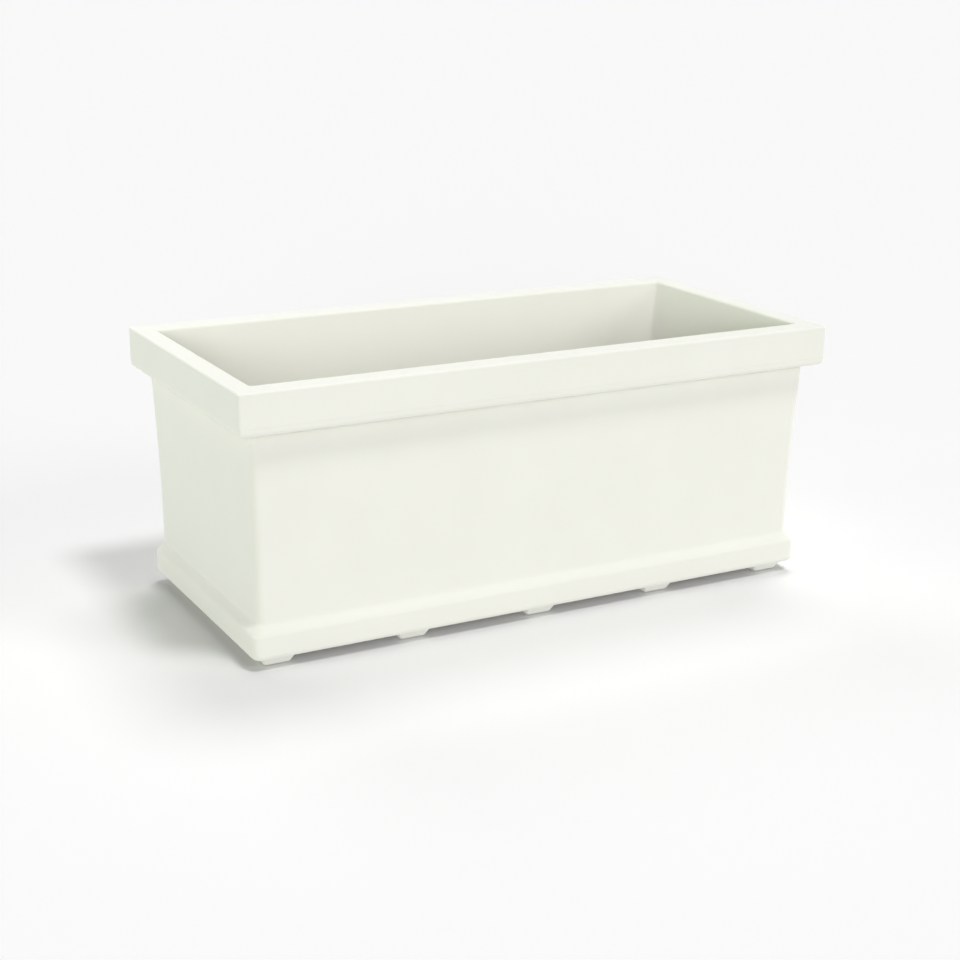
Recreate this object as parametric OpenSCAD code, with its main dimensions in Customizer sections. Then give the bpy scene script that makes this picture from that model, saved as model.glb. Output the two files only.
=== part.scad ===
// Rectangular double-wall trough planter with an overhanging rim, a flared plinth and five skid
// feet. Millimetres, +Z up. The origin is on the ground under the middle of the planter; the long
// side runs along X and the front looks along -Y.

/* [Overall] */
// Length over the rim
length = 915; // [800:5:1100]
// Depth over the rim, front to back
depth = 436; // [400:2:520]
// Height from the ground to the rim deck
height = 383; // [340:1:440]

/* [Rim] */
// Height of the flat face round the rim
fascia_h = 46.5; // [30:0.5:60]
// Width of the deck at the two ends, from the fascia to the planting wall
deck_end_w = 30; // [26:0.5:50]
// Width of the deck along the front and the back
deck_side_w = 37.5; // [30:0.5:60]
// Radius of the roll from the deck into the planting space
lip_r = 4; // [4:0.5:10]
// Radius of the rim's upper outer edge
deck_edge_r = 3; // [1:0.25:5]
// Radius of the rim's upright corners
rim_corner_r = 4; // [2:0.5:8]
// Height of the collar band that shows under the fascia
collar_h = 11.5; // [9:0.5:14]
// Radius of the collar band's lower edge
collar_round_r = 6.5; // [4:0.5:8]
// Setback of the collar band from the fascia
collar_setback = 0.2; // [0.1:0.1:1.5]
// Lean of the collar band, inwards from its top to its rounded edge
collar_lean = 0.8; // [0:0.1:2]
// Height of the collar's upstand inside the fascia
upstand_h = 9.5; // [5:0.5:15]

/* [Outer wall] */
// Thickness of the mouldings
wall_t = 3.5; // [2.5:0.25:5]
// Inset of the wall from the fascia, just under the collar
wall_inset_top = 20.5; // [18:0.5:26]
// Inset of the wall from the fascia, where it meets the plinth
wall_inset_foot = 27.4; // [27:0.1:34]
// Radius of the cove under the collar
cove_r = 5; // [3:0.5:8]
// Radius of the wall's upright corners
wall_corner_r = 12; // [8:0.5:18]

/* [Plinth] */
// Inset of the plinth's upright band from the fascia
plinth_inset = 18; // [12:0.5:20]
// Height of the crease where the wall meets the plinth
plinth_top_z = 65; // [56:1:80]
// Height of the moulded curve on top of the plinth
plinth_ogee_h = 18; // [10:1:24]
// Radius of the plinth's lower edge
plinth_round_r = 8; // [6:0.5:14]
// Radius of the plinth's upright corners
plinth_corner_r = 11; // [8:0.5:16]

/* [Skid feet] */
// Inset of the end skids' middles from the fascia
end_skid_inset = 57.5; // [55:0.5:62]
// Height of the skids
skid_h = 15; // [10:0.2:18]
// Width of a skid on the ground
skid_w = 34.5; // [28:0.5:38]
// Widening of a skid on each side from the ground to the flange
skid_draft_w = 8.2; // [4:0.2:10]
// Inset of the skids' ends on the ground from the fascia
skid_end_inset = 38; // [37:0.5:44]
// Radius of the skids' lower edges
skid_edge_r = 4.5; // [1:0.5:6]

/* [Planting tub] */
// Height of the gap between the base pan and the tub's floor
tub_gap_h = 17; // [14:1:30]
// Thickness of the tub's floor
tub_floor_t = 5; // [4:0.5:8]
// Lean of the tub's end walls, degrees
end_draft = 5; // [2:0.5:6]
// Lean of the tub's long walls, degrees
side_draft = 4; // [2:0.5:6]
// Radius of the tub's upright corners at the rim
tub_corner_r = 4; // [3:0.5:14]
// Radius between the tub's walls and floor
tub_floor_r = 12; // [8:0.5:18]

/* [Base pan] */
// Thickness of the pan's plate
pan_t = 5; // [4:0.5:8]
// Thickness of the pan's ribs
pan_rib_t = 4; // [3:0.5:6]
// Distance of the pan's outer long ribs from its middle
long_rib_y = 95; // [60:1:110]
// Gap between the pan and the inside of the plinth
pan_gap = 2; // [1:0.5:4]
// Outer radius of the pan's screw bosses
pan_boss_r = 7; // [6:0.5:9]

/* [Drainage platforms] */
// Height of the reservoir under the platforms
reservoir_h = 55; // [46:1:80]
// Thickness of a platform's plate
platform_t = 4; // [3:0.5:6]
// Gap from the platforms to the tub's walls
platform_gap = 3; // [2:0.5:6]
// Gap between the two platforms
platform_split = 3; // [2:0.5:8]
// Distance from a platform's edge to the middle of its outer legs
leg_inset = 38; // [30:1:44]
// Outer radius of a platform's hollow legs
leg_r = 14; // [11:0.5:16]
// Wall thickness of a leg
leg_t = 3; // [2:0.5:4]
// Length of a drainage slot
slot_l = 30; // [20:1:34]
// Width of a drainage slot
slot_w = 5; // [3:0.5:8]
// Height of the stiffening rim under a platform's edge
platform_skirt_h = 10; // [6:1:16]

/* [Drain fittings] */
// Radius of the bore that the plug closes
drain_bore_r = 11; // [8:0.5:12]
// Wall thickness of the drain spigot
spigot_t = 4; // [3:0.5:5]
// Radius of the spigot's flange
spigot_flange_r = 26; // [24:0.5:30]
// Thickness of the spigot's flange
spigot_flange_t = 4; // [3:0.5:6]
// Thickness of the gasket under the flange
gasket_t = 2; // [1.5:0.25:3]
// Radius across the flats of the lock nut
nut_flat_r = 21; // [20:0.5:25]
// Height of the lock nut
nut_h = 7; // [5:0.5:8]
// Length of the spigot's tail below the nut
tail_l = 2; // [1:0.5:3]
// Radius of the plug's head
plug_head_r = 17; // [14:0.5:20]
// Thickness of the plug's head
plug_head_t = 5; // [4:0.5:7]
// Length of the plug's stem, which ends level with the tub's floor
plug_stem_l = 6; // [5:0.5:16]
// Height of the plug's finger grip
plug_grip_h = 12; // [8:0.5:14]
// Radius of the seal ring's section
seal_r = 1.5; // [1:0.1:2]

/* [Screws] */
// Radius of a screw's shank
screw_r = 2.2; // [1.8:0.1:2.6]
// Radius of a screw's head
screw_head_r = 4.4; // [4:0.1:5]
// Height of a screw's head
screw_head_h = 3; // [2:0.25:3.5]
// Length of a screw's thread above the pan's plate
screw_bite = 10; // [8:0.5:14]
// Distance of the screws from the skids' ends
screw_setback = 9; // [8:0.5:12]
// Distance of the screws from the inner edge of the casing's flange
flange_margin = 8; // [6:0.5:14]

/* [Clearances] */
// Gap between the fascia and the collar
rim_gap = 0.5; // [0.3:0.1:1]
// Gap between a spigot and the holes that it passes
spigot_gap = 0.3; // [0.2:0.05:0.6]
// Gap between the plug and the spigot's bore
plug_gap = 0.1; // [0.05:0.01:0.1]
// Gap between a screw's shank and its hole
screw_gap = 0.05; // [0.03:0.01:0.1]
// Gap between a nut's thread and the spigot's
thread_gap = 0.1; // [0.05:0.05:0.3]
// Gap round a screw's head in its seat
seat_gap = 0.5; // [0.3:0.1:1]
// Depth of a skid screw's head above the ground
head_sink = 1; // [0.5:0.1:1.5]
// Gap between a skid's tongue and the casing's flange
tongue_gap = 1; // [0.5:0.1:2]

/* [Hidden] */
SKID_COUNT = 5;
CORNER_STEPS = 8;
CURVE_STEPS = 6;
WALL_STEPS = 12;
ROUND_FN = 64;
SMALL_FN = 32;

IVORY = "ivory";
RESIN_GREY = "slategray";
DARK_RUBBER = "dimgray";
STEEL = "silver";

// Levels, from the ground up
flange_top_z = skid_h + wall_t;
pan_top_z = flange_top_z + pan_t;
tub_base_z = pan_top_z + tub_gap_h;
tub_floor_z = tub_base_z + tub_floor_t;
platform_z = tub_floor_z + reservoir_h;
platform_top_z = platform_z + platform_t;
band_top_z = plinth_top_z - plinth_ogee_h;
fascia_z = height - fascia_h;
collar_z = fascia_z - collar_h;
cove_z = collar_z - cove_r;
lip_z = height - lip_r;

// Fillet between the deck's underside and the tub's walls
under_r = max(lip_r - wall_t, 0.5);
under_z = height - wall_t - under_r;

// Shelf behind the collar band, and the upstand that the fascia hangs on
shelf_z = collar_z + wall_t;
upstand_inset = wall_t + rim_gap;

// Screw line of the skids and of the flange under the plinth, and the flange's inner edge
screw_inset = skid_end_inset + screw_setback;
flange_inset = screw_inset + flange_margin;
pan_inset = plinth_inset + plinth_round_r + pan_gap;
screw_y = depth / 2 - screw_inset;

// Half sizes of the planting space at a height
function tub_x(z) = length / 2 - deck_end_w - (lip_z - z) * tan(end_draft);
function tub_y(z) = depth / 2 - deck_side_w - (lip_z - z) * tan(side_draft);

// Skids, the bays between them, and the drains in the end bays
skid_pitch = (length - 2 * end_skid_inset) / (SKID_COUNT - 1);
skid_xs = [for (k = [0 : SKID_COUNT - 1]) (k - (SKID_COUNT - 1) / 2) * skid_pitch];
inner_skid_xs = [for (k = [1 : SKID_COUNT - 2]) skid_xs[k]];
bay_xs = [for (k = [0 : SKID_COUNT - 2]) (skid_xs[k] + skid_xs[k + 1]) / 2];
drain_x = bay_xs[SKID_COUNT - 2];

// ---- Lofted shells: a closed or open section carried round a rounded rectangle ----

// One ring of points; dx and dy are its insets from the rim's faces, r its corner radius
function ring(dx, dy, r, z) = [
    for (c = [0 : 3])
        let (sx = (c == 0 || c == 3) ? 1 : -1, sy = (c < 2) ? 1 : -1)
        for (i = [0 : CORNER_STEPS])
            let (a = 90 * (c + i / CORNER_STEPS))
            [
                sx * (length / 2 - dx - r) + r * cos(a),
                sy * (depth / 2 - dy - r) + r * sin(a),
                z
            ]
];

// Side faces between one ring of n points and the next
function band_faces(n, from, to) = [
    for (i = [0 : n - 1])
        let (j = (i + 1) % n)
        [from * n + i, to * n + i, to * n + j, from * n + j]
];

// section: [inset along X, inset along Y, corner radius, height] for each ring
module loft(section, closed) {
    rings = [for (p = section) ring(p[0], p[1], p[2], p[3])];
    n = len(rings[0]);
    last = len(rings) - 1;
    sides = [
        for (k = [0 : last - 1])
            each band_faces(n, k, k + 1)
    ];
    ends = closed
        ? band_faces(n, last, 0)
        : [[for (i = [0 : n - 1]) i], [for (i = [n - 1 : -1 : 0]) last * n + i]];
    polyhedron(points = [for (r = rings) each r], faces = concat(sides, ends), convexity = 10);
}

// Same inset along X and along Y
function even(inset, r, z) = [inset, inset, r, z];

// Fractions from 0 to 1 with both ends, and without them
function along(steps) = [for (i = [0 : steps]) i / steps];
function between(steps) = [for (i = [1 : steps - 1]) i / steps];
function from_to(a, b, t) = a + (b - a) * t;

// ---- Outer casing ----

// The wall hollows slightly: it leans most under the collar and stands upright at the plinth
function wall_inset(z) =
    from_to(wall_inset_top, wall_inset_foot, sin(90 * (cove_z - z) / (cove_z - plinth_top_z)));

// Ogee on top of the plinth; t is 0 at the band and 1 at the crease
function ogee_inset(t) = from_to(plinth_inset, wall_inset_foot, (1 - cos(180 * t)) / 2);

// Corner radius of an inner face that follows an outer one
function inner_r(r) = max(r - wall_t, 1);

casing_outside = concat(
    [for (t = along(CURVE_STEPS))
        even(plinth_inset + plinth_round_r * (1 - sin(90 * t)), plinth_corner_r,
            skid_h + plinth_round_r * (1 - cos(90 * t)))],
    [for (t = along(CURVE_STEPS))
        even(ogee_inset(t), from_to(plinth_corner_r, wall_corner_r, t),
            from_to(band_top_z, plinth_top_z, t))],
    [for (t = between(WALL_STEPS))
        let (z = from_to(plinth_top_z, cove_z, t))
        even(wall_inset(z), wall_corner_r, z)],
    [for (t = along(CURVE_STEPS))
        even(wall_inset_top - cove_r * (1 - cos(90 * t)), from_to(wall_corner_r, rim_corner_r, t),
            cove_z + cove_r * sin(90 * t))],
    [for (t = along(CURVE_STEPS))
        even(collar_setback + collar_lean + collar_round_r * (1 - sin(90 * t)), rim_corner_r,
            collar_z + collar_round_r * (1 - cos(90 * t)))]
);

casing_top = [
    even(collar_setback, rim_corner_r, fascia_z - rim_gap / 2),
    even(upstand_inset, rim_corner_r, fascia_z - rim_gap / 2),
    even(upstand_inset, rim_corner_r, fascia_z + upstand_h),
    even(upstand_inset + wall_t, rim_corner_r, fascia_z + upstand_h),
    even(upstand_inset + wall_t, rim_corner_r, shelf_z)
];

casing_inside = concat(
    [for (u = along(CURVE_STEPS))
        let (t = 1 - u)
        even(wall_inset_top + wall_t - (cove_r + wall_t) * (1 - cos(90 * t)),
            from_to(inner_r(wall_corner_r), inner_r(rim_corner_r), t),
            cove_z + (cove_r + wall_t) * sin(90 * t))],
    [for (u = between(WALL_STEPS))
        let (z = from_to(cove_z, plinth_top_z, u))
        even(wall_inset(z) + wall_t, inner_r(wall_corner_r), z)],
    [for (u = along(CURVE_STEPS))
        let (t = 1 - u)
        even(ogee_inset(t) + wall_t, from_to(inner_r(plinth_corner_r), inner_r(wall_corner_r), t),
            from_to(band_top_z, plinth_top_z, t))],
    [for (u = along(CURVE_STEPS))
        let (t = 1 - u, r = plinth_round_r - wall_t)
        even(plinth_inset + wall_t + r * (1 - sin(90 * t)), inner_r(plinth_corner_r),
            flange_top_z + r * (1 - cos(90 * t)))],
    [
        even(flange_inset, tongue_gap, flange_top_z),
        even(flange_inset, tongue_gap, skid_h)
    ]
);

module outer_casing() {
    color(IVORY)
    difference() {
        loft(concat(casing_outside, casing_top, casing_inside), closed = true);
        screw_holes(skid_h - 1, flange_top_z + 1);
        pan_screw_seats();
    }
}

// ---- Planting tub, one moulding with the rim ----

function tub_ring(extra, r, z) =
    [length / 2 - tub_x(z) - extra, depth / 2 - tub_y(z) - extra, r, z];

// Ring under or on the deck, moved back from the planting wall towards the fascia
function deck_ring(back, z) = [deck_end_w - back, deck_side_w - back, tub_corner_r + back, z];

tub_outside = [
    tub_ring(wall_t - tub_floor_r / 2, tub_corner_r + wall_t, tub_base_z),
    tub_ring(wall_t, tub_corner_r + wall_t, tub_base_z + tub_floor_r / 2),
    tub_ring(wall_t, tub_corner_r + wall_t, under_z)
];

rim_underside = concat(
    [for (t = between(CURVE_STEPS))
        deck_ring(wall_t + under_r * (1 - cos(90 * t)), under_z + under_r * sin(90 * t))],
    [
        deck_ring(wall_t + under_r, height - wall_t),
        even(wall_t, rim_corner_r, height - wall_t),
        even(wall_t, rim_corner_r, fascia_z)
    ]
);

rim_outside = concat(
    [even(0, rim_corner_r, fascia_z)],
    [for (t = along(CURVE_STEPS))
        even(deck_edge_r * (1 - cos(90 * t)), rim_corner_r, height - deck_edge_r * (1 - sin(90 * t)))]
);

tub_inside = concat(
    [for (t = along(CURVE_STEPS))
        deck_ring(lip_r * (1 - sin(90 * t)), height - lip_r * (1 - cos(90 * t)))],
    [for (t = along(CURVE_STEPS))
        tub_ring(-tub_floor_r * (1 - cos(90 * t)), tub_corner_r + tub_floor_r / 2,
            tub_floor_z + tub_floor_r * (1 - sin(90 * t)))]
);

module inner_tub() {
    color(IVORY)
    difference() {
        loft(concat(tub_outside, rim_underside, rim_outside, tub_inside), closed = false);
        at_drains() spigot_hole(tub_base_z - 1, tub_floor_t + 2);
    }
}

// ---- Drain fittings ----

spigot_r = drain_bore_r + spigot_t;
spigot_top_z = tub_floor_z + gasket_t + spigot_flange_t;
nut_z = flange_top_z - nut_h;

// Puts a fitting at both drains, or at one side's
module at_drains(sides = [-1, 1]) {
    for (side = sides)
        translate([side * drain_x, 0, 0]) children();
}

module spigot_hole(z, h) {
    translate([0, 0, z]) cylinder(r = spigot_r + spigot_gap, h = h, $fn = ROUND_FN);
}

module drain_spigot() {
    color(RESIN_GREY)
    difference() {
        union() {
            translate([0, 0, tub_floor_z + gasket_t])
                cylinder(r = spigot_flange_r, h = spigot_flange_t, $fn = ROUND_FN);
            translate([0, 0, nut_z - tail_l])
                cylinder(r = spigot_r, h = spigot_top_z - nut_z + tail_l - spigot_flange_t / 2,
                    $fn = ROUND_FN);
        }
        translate([0, 0, nut_z - tail_l - 1])
            cylinder(r = drain_bore_r, h = spigot_top_z - nut_z + tail_l + 2, $fn = ROUND_FN);
    }
}

module spigot_gasket() {
    color(DARK_RUBBER)
    difference() {
        translate([0, 0, tub_floor_z])
            cylinder(r = spigot_flange_r - 1, h = gasket_t, $fn = ROUND_FN);
        spigot_hole(tub_floor_z - 1, gasket_t + 2);
    }
}

module spigot_nut() {
    color(RESIN_GREY)
    difference() {
        translate([0, 0, nut_z])
            cylinder(r = nut_flat_r / cos(30), h = nut_h, $fn = 6);
        translate([0, 0, nut_z - 1])
            cylinder(r = spigot_r + thread_gap, h = nut_h + 2, $fn = ROUND_FN);
    }
}

plug_r = drain_bore_r - plug_gap;
seal_ring_r = plug_r - seal_r;
seal_z = spigot_top_z - plug_stem_l / 2;

module drain_plug() {
    grip_l = plug_head_r * 1.4;
    grip_t = plug_head_t;
    color(DARK_RUBBER)
    difference() {
        union() {
            translate([0, 0, spigot_top_z - plug_stem_l])
                cylinder(r = plug_r, h = plug_stem_l + 1, $fn = ROUND_FN);
            translate([0, 0, spigot_top_z])
                cylinder(r = plug_head_r, h = plug_head_t, $fn = ROUND_FN);
            translate([-grip_l / 2, -grip_t / 2, spigot_top_z + plug_head_t - 1])
                cube([grip_l, grip_t, plug_grip_h - grip_l / 4 + 1]);
            translate([0, grip_t / 2, spigot_top_z + plug_head_t + plug_grip_h - grip_l / 4])
                rotate([90, 0, 0]) grip_top(grip_l, grip_t);
        }
        translate([0, 0, seal_z - seal_r])
            difference() {
                cylinder(r = plug_r + 1, h = 2 * seal_r, $fn = ROUND_FN);
                cylinder(r = seal_ring_r - seal_r, h = 2 * seal_r, $fn = ROUND_FN);
            }
    }
}

// Round-cornered top of the finger grip
module grip_top(l, t) {
    r = l / 4;
    linear_extrude(height = t)
        union() {
            for (side = [-1, 1])
                translate([side * (l / 2 - r), 0])
                    intersection() {
                        circle(r = r, $fn = SMALL_FN);
                        translate([-r, 0]) square([2 * r, r]);
                    }
            translate([-(l / 2 - r), 0]) square([l - 2 * r, r]);
        }
}

module plug_seal() {
    color("black")
    translate([0, 0, seal_z])
        rotate_extrude($fn = ROUND_FN)
            translate([seal_ring_r, 0]) circle(r = seal_r, $fn = SMALL_FN);
}

// ---- Drainage platforms ----

platform_half_x = tub_x(platform_z - platform_skirt_h) - platform_gap;
platform_half_y = tub_y(platform_z - platform_skirt_h) - platform_gap;
platform_l = platform_half_x - platform_split / 2;
platform_x = platform_split / 2 + platform_l / 2;
platform_corner_r = tub_corner_r + tub_floor_r / 2;
leg_reach_x = platform_l / 2 - leg_inset;
leg_reach_y = platform_half_y - leg_inset;
leg_steps = [-1, 0, 1];

// Slots run along X in rows between the legs
slot_pitch_x = slot_l + 12;
slot_pitch_y = 4 * slot_w;
slot_columns = floor((platform_l - 30) / slot_pitch_x);
slot_rows = floor((2 * leg_reach_y - 2 * leg_r - 10) / slot_pitch_y);

module rounded_plate(l, w, r, h) {
    linear_extrude(height = h)
        union() {
            square([l - 2 * r, w], center = true);
            square([l, w - 2 * r], center = true);
            for (sx = [-1, 1], sy = [-1, 1])
                translate([sx * (l / 2 - r), sy * (w / 2 - r)]) circle(r = r, $fn = SMALL_FN);
        }
}

// One platform in its own place; side is -1 for the left and 1 for the right
module drain_platform(side) {
    w = 2 * platform_half_y;
    color(RESIN_GREY)
    translate([side * platform_x, 0, 0])
    difference() {
        union() {
            translate([0, 0, platform_z])
                rounded_plate(platform_l, w, platform_corner_r, platform_t);
            difference() {
                translate([0, 0, platform_z - platform_skirt_h])
                    rounded_plate(platform_l, w, platform_corner_r, platform_skirt_h + 1);
                translate([0, 0, platform_z - platform_skirt_h - 1])
                    rounded_plate(platform_l - 2 * leg_t, w - 2 * leg_t, platform_corner_r - leg_t,
                        platform_skirt_h + 1);
            }
            platform_legs(leg_r, tub_floor_z, platform_z + 1);
        }
        platform_legs(leg_r - leg_t, tub_floor_z + leg_t, platform_top_z + 1);
        leg_windows();
        translate([0, 0, platform_z - 1])
            for (i = [0 : slot_columns - 1], j = [0 : slot_rows - 1])
                translate([
                    (i - (slot_columns - 1) / 2) * slot_pitch_x - slot_l / 2,
                    (j - (slot_rows - 1) / 2) * slot_pitch_y - slot_w / 2,
                    0
                ])
                    cube([slot_l, slot_w, platform_t + 2]);
    }
}

module platform_legs(r, z0, z1) {
    for (i = leg_steps, side = [-1, 1])
        translate([i * leg_reach_x, side * leg_reach_y, z0])
            cylinder(r = r, h = z1 - z0, $fn = ROUND_FN);
}

// Windows that let water into the hollow legs
module leg_windows() {
    for (i = leg_steps, side = [-1, 1])
        translate([i * leg_reach_x, side * leg_reach_y, tub_floor_z + leg_t + reservoir_h / 6])
            for (turn = [0, 90])
                rotate([0, 0, turn])
                    translate([-leg_r - 1, -slot_w / 2, 0])
                        cube([2 * leg_r + 2, slot_w, reservoir_h / 3]);
}

// ---- Base pan ----

pan_l = length - 2 * pan_inset;
pan_w = depth - 2 * pan_inset;
rib_half_x = tub_x(tub_floor_z) - tub_floor_r;
rib_half_y = tub_y(tub_floor_z) - tub_floor_r;
end_rib_x = rib_half_x - pan_rib_t / 2;

// A rib that carries the tub's floor
module pan_rib(at, size, h) {
    translate([at[0] - size[0] / 2, at[1] - size[1] / 2, pan_top_z - 1])
        cube([size[0], size[1], h + 1]);
}

module base_pan() {
    rib_h = tub_base_z - pan_top_z;
    color(RESIN_GREY)
    difference() {
        union() {
            translate([0, 0, flange_top_z])
                rounded_plate(pan_l, pan_w, plinth_corner_r, pan_t);
            for (x = concat(-end_rib_x, inner_skid_xs, end_rib_x))
                pan_rib([x, 0], [pan_rib_t, 2 * rib_half_y], rib_h);
            for (side = [-1, 0, 1])
                pan_rib([0, side * long_rib_y], [2 * rib_half_x, pan_rib_t], rib_h);
            at_drains()
                translate([0, 0, pan_top_z - 1])
                    cylinder(r = spigot_flange_r, h = rib_h + 1, $fn = ROUND_FN);
            at_screws()
                translate([0, 0, pan_top_z - 1])
                    cylinder(r = pan_boss_r, h = screw_bite + 3, $fn = SMALL_FN);
        }
        screw_holes(flange_top_z - 1, pan_top_z + screw_bite + 0.5);
        at_drains() spigot_hole(flange_top_z - 1, tub_base_z - flange_top_z + 2);
    }
}

// ---- Skids and screws ----

// Screws at both ends of every skid, and in the middle of the inner ones
module at_skid_screws() {
    for (x = skid_xs, side = [-1, 1])
        translate([x, side * screw_y, 0]) children();
    for (x = inner_skid_xs)
        translate([x, 0, 0]) children();
}

// Screws through the casing's flange, between the skids
module at_pan_screws() {
    for (x = bay_xs, side = [-1, 1])
        translate([x, side * screw_y, 0]) children();
}

module at_screws() {
    at_skid_screws() children();
    at_pan_screws() children();
}

module screw_holes(z0, z1) {
    at_screws()
        translate([0, 0, z0])
            cylinder(r = screw_r + screw_gap, h = z1 - z0, $fn = SMALL_FN);
}

// Seats that take a skid screw's head above the ground
module skid_screw_seats() {
    at_skid_screws()
        translate([0, 0, -1])
            cylinder(r = screw_head_r + seat_gap, h = head_sink + screw_head_h + 1, $fn = SMALL_FN);
}

// The pan's own screws sit half sunk in shallow seats under the flange
seat_depth = wall_t / 3;

module pan_screw_seats() {
    at_pan_screws()
        translate([0, 0, skid_h - 1])
            cylinder(r = screw_head_r + seat_gap, h = seat_depth + 1, $fn = SMALL_FN);
}

// A screw with a cross recess in the underside of its head
module screw(head_top_z) {
    tip_z = pan_top_z + screw_bite;
    recess = [screw_head_r, screw_r / 2, screw_head_h / 2];
    difference() {
        union() {
            translate([0, 0, head_top_z - screw_head_h])
                cylinder(r = screw_head_r, h = screw_head_h, $fn = SMALL_FN);
            translate([0, 0, head_top_z - 1])
                cylinder(r = screw_r, h = tip_z - head_top_z + 1, $fn = SMALL_FN);
        }
        for (turn = [0, 90])
            rotate([0, 0, turn])
                translate([-recess[0] / 2, -recess[1] / 2, head_top_z - screw_head_h - recess[2]])
                    cube([recess[0], recess[1], 2 * recess[2]]);
    }
}

module skid_screws() {
    color(STEEL) at_skid_screws() screw(head_sink + screw_head_h);
}

module pan_screws() {
    color(STEEL) at_pan_screws() screw(skid_h + seat_depth);
}

// Right half of a skid's outline: narrow on the ground, leaning out, with its lower edge rounded
function skid_side(half, draft, h, r) =
    let (lean = 90 - atan(draft / h), cx = half - r * tan(lean / 2))
    concat(
        [for (t = along(CURVE_STEPS))
            [cx + r * sin(lean * t), r * (1 - cos(lean * t))]],
        [[half + draft, h]]
    );

function skid_outline(half, draft, h, r) =
    let (right = skid_side(half, draft, h, r))
    concat(right, [for (i = [len(right) - 1 : -1 : 0]) [-right[i][0], right[i][1]]]);

module foot_skid(x) {
    outline = skid_outline(skid_w / 2, skid_draft_w, skid_h, skid_edge_r);
    profile = skid_outline(depth / 2 - skid_end_inset, skid_draft_w, skid_h, skid_edge_r);
    color(IVORY)
    difference() {
        union() {
            translate([x, 0, 0])
                intersection() {
                    rotate([90, 0, 0])
                        linear_extrude(height = depth, center = true) polygon(outline);
                    rotate([90, 0, 90])
                        linear_extrude(height = 2 * skid_w, center = true) polygon(profile);
                }
            skid_tongue(x);
        }
        screw_holes(-1, flange_top_z + 1);
        skid_screw_seats();
    }
}

// Raised middle of a skid, which meets the pan inside the casing's flange
module skid_tongue(x) {
    half_x = length / 2 - flange_inset - tongue_gap;
    half_y = depth / 2 - flange_inset - tongue_gap;
    x0 = max(x - skid_w / 2, -half_x);
    x1 = min(x + skid_w / 2, half_x);
    translate([x0, -half_y, skid_h - 1])
        cube([x1 - x0, 2 * half_y, wall_t + 1]);
}

outer_casing();
inner_tub();
base_pan();
foot_skid(skid_xs[0]);  // foot_skid_1
foot_skid(skid_xs[1]);  // foot_skid_2
foot_skid(skid_xs[2]);  // foot_skid_3
foot_skid(skid_xs[3]);  // foot_skid_4
foot_skid(skid_xs[4]);  // foot_skid_5
skid_screws();
pan_screws();
drain_platform(-1);  // drain_platform_left
drain_platform(1);  // drain_platform_right
at_drains([-1]) drain_spigot();  // drain_spigot_left
at_drains([1]) drain_spigot();  // drain_spigot_right
at_drains([-1]) spigot_gasket();  // spigot_gasket_left
at_drains([1]) spigot_gasket();  // spigot_gasket_right
at_drains([-1]) spigot_nut();  // spigot_nut_left
at_drains([1]) spigot_nut();  // spigot_nut_right
at_drains([-1]) drain_plug();  // drain_plug_left
at_drains([1]) drain_plug();  // drain_plug_right
at_drains([-1]) plug_seal();  // plug_seal_left
at_drains([1]) plug_seal();  // plug_seal_right
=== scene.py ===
"""Looks of a rectangular trough planter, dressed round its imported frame.

Sizes are in millimetres in the classes below and in metres in Blender. The origin is on the ground
under the middle of the planter, +X runs along the long side, and the front looks along -Y.
"""
import logging
import math
from dataclasses import dataclass, replace
from enum import Enum
from typing import Any, Iterable, Mapping, Sequence

import bmesh
import bpy
from mathutils import Matrix, Vector


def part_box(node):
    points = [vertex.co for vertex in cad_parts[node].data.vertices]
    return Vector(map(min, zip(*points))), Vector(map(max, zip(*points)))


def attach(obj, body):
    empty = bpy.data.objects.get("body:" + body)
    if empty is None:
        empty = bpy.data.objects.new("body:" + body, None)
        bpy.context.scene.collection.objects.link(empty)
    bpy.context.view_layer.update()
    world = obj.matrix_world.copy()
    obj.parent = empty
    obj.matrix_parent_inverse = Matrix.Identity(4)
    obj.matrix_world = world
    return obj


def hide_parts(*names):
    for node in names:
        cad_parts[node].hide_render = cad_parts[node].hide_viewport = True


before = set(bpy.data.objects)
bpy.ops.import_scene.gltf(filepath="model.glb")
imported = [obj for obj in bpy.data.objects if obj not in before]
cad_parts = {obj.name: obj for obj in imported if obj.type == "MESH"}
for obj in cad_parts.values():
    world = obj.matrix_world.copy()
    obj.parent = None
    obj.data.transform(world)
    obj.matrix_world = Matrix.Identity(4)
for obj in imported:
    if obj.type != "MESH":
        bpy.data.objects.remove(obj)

LOG = logging.getLogger("trough_planter")
MM = 0.001
PAST = 1.0               # how far a cutter passes the faces that it cuts, in millimetres
WELD = 1e-6              # points this close are taken as one, in metres
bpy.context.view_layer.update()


class Side(Enum):
    """The two ends of the planter, with the sign of X there."""

    LEFT = -1
    RIGHT = 1

    @property
    def word(self) -> str:
        """Name of the side as the frame's nodes spell it."""
        return self.name.lower()


class Body(Enum):
    """Bodies of the frame that pieces ride on."""

    PLANTER = "planter"
    PLATFORM = "platform"
    PLUG = "plug"

    def at(self, side: "Side") -> str:
        """Name of the body on a side, where there is one on each."""
        return f"{self.value}_{side.word}"


# ---- Node trees written as Python expressions ----


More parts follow.
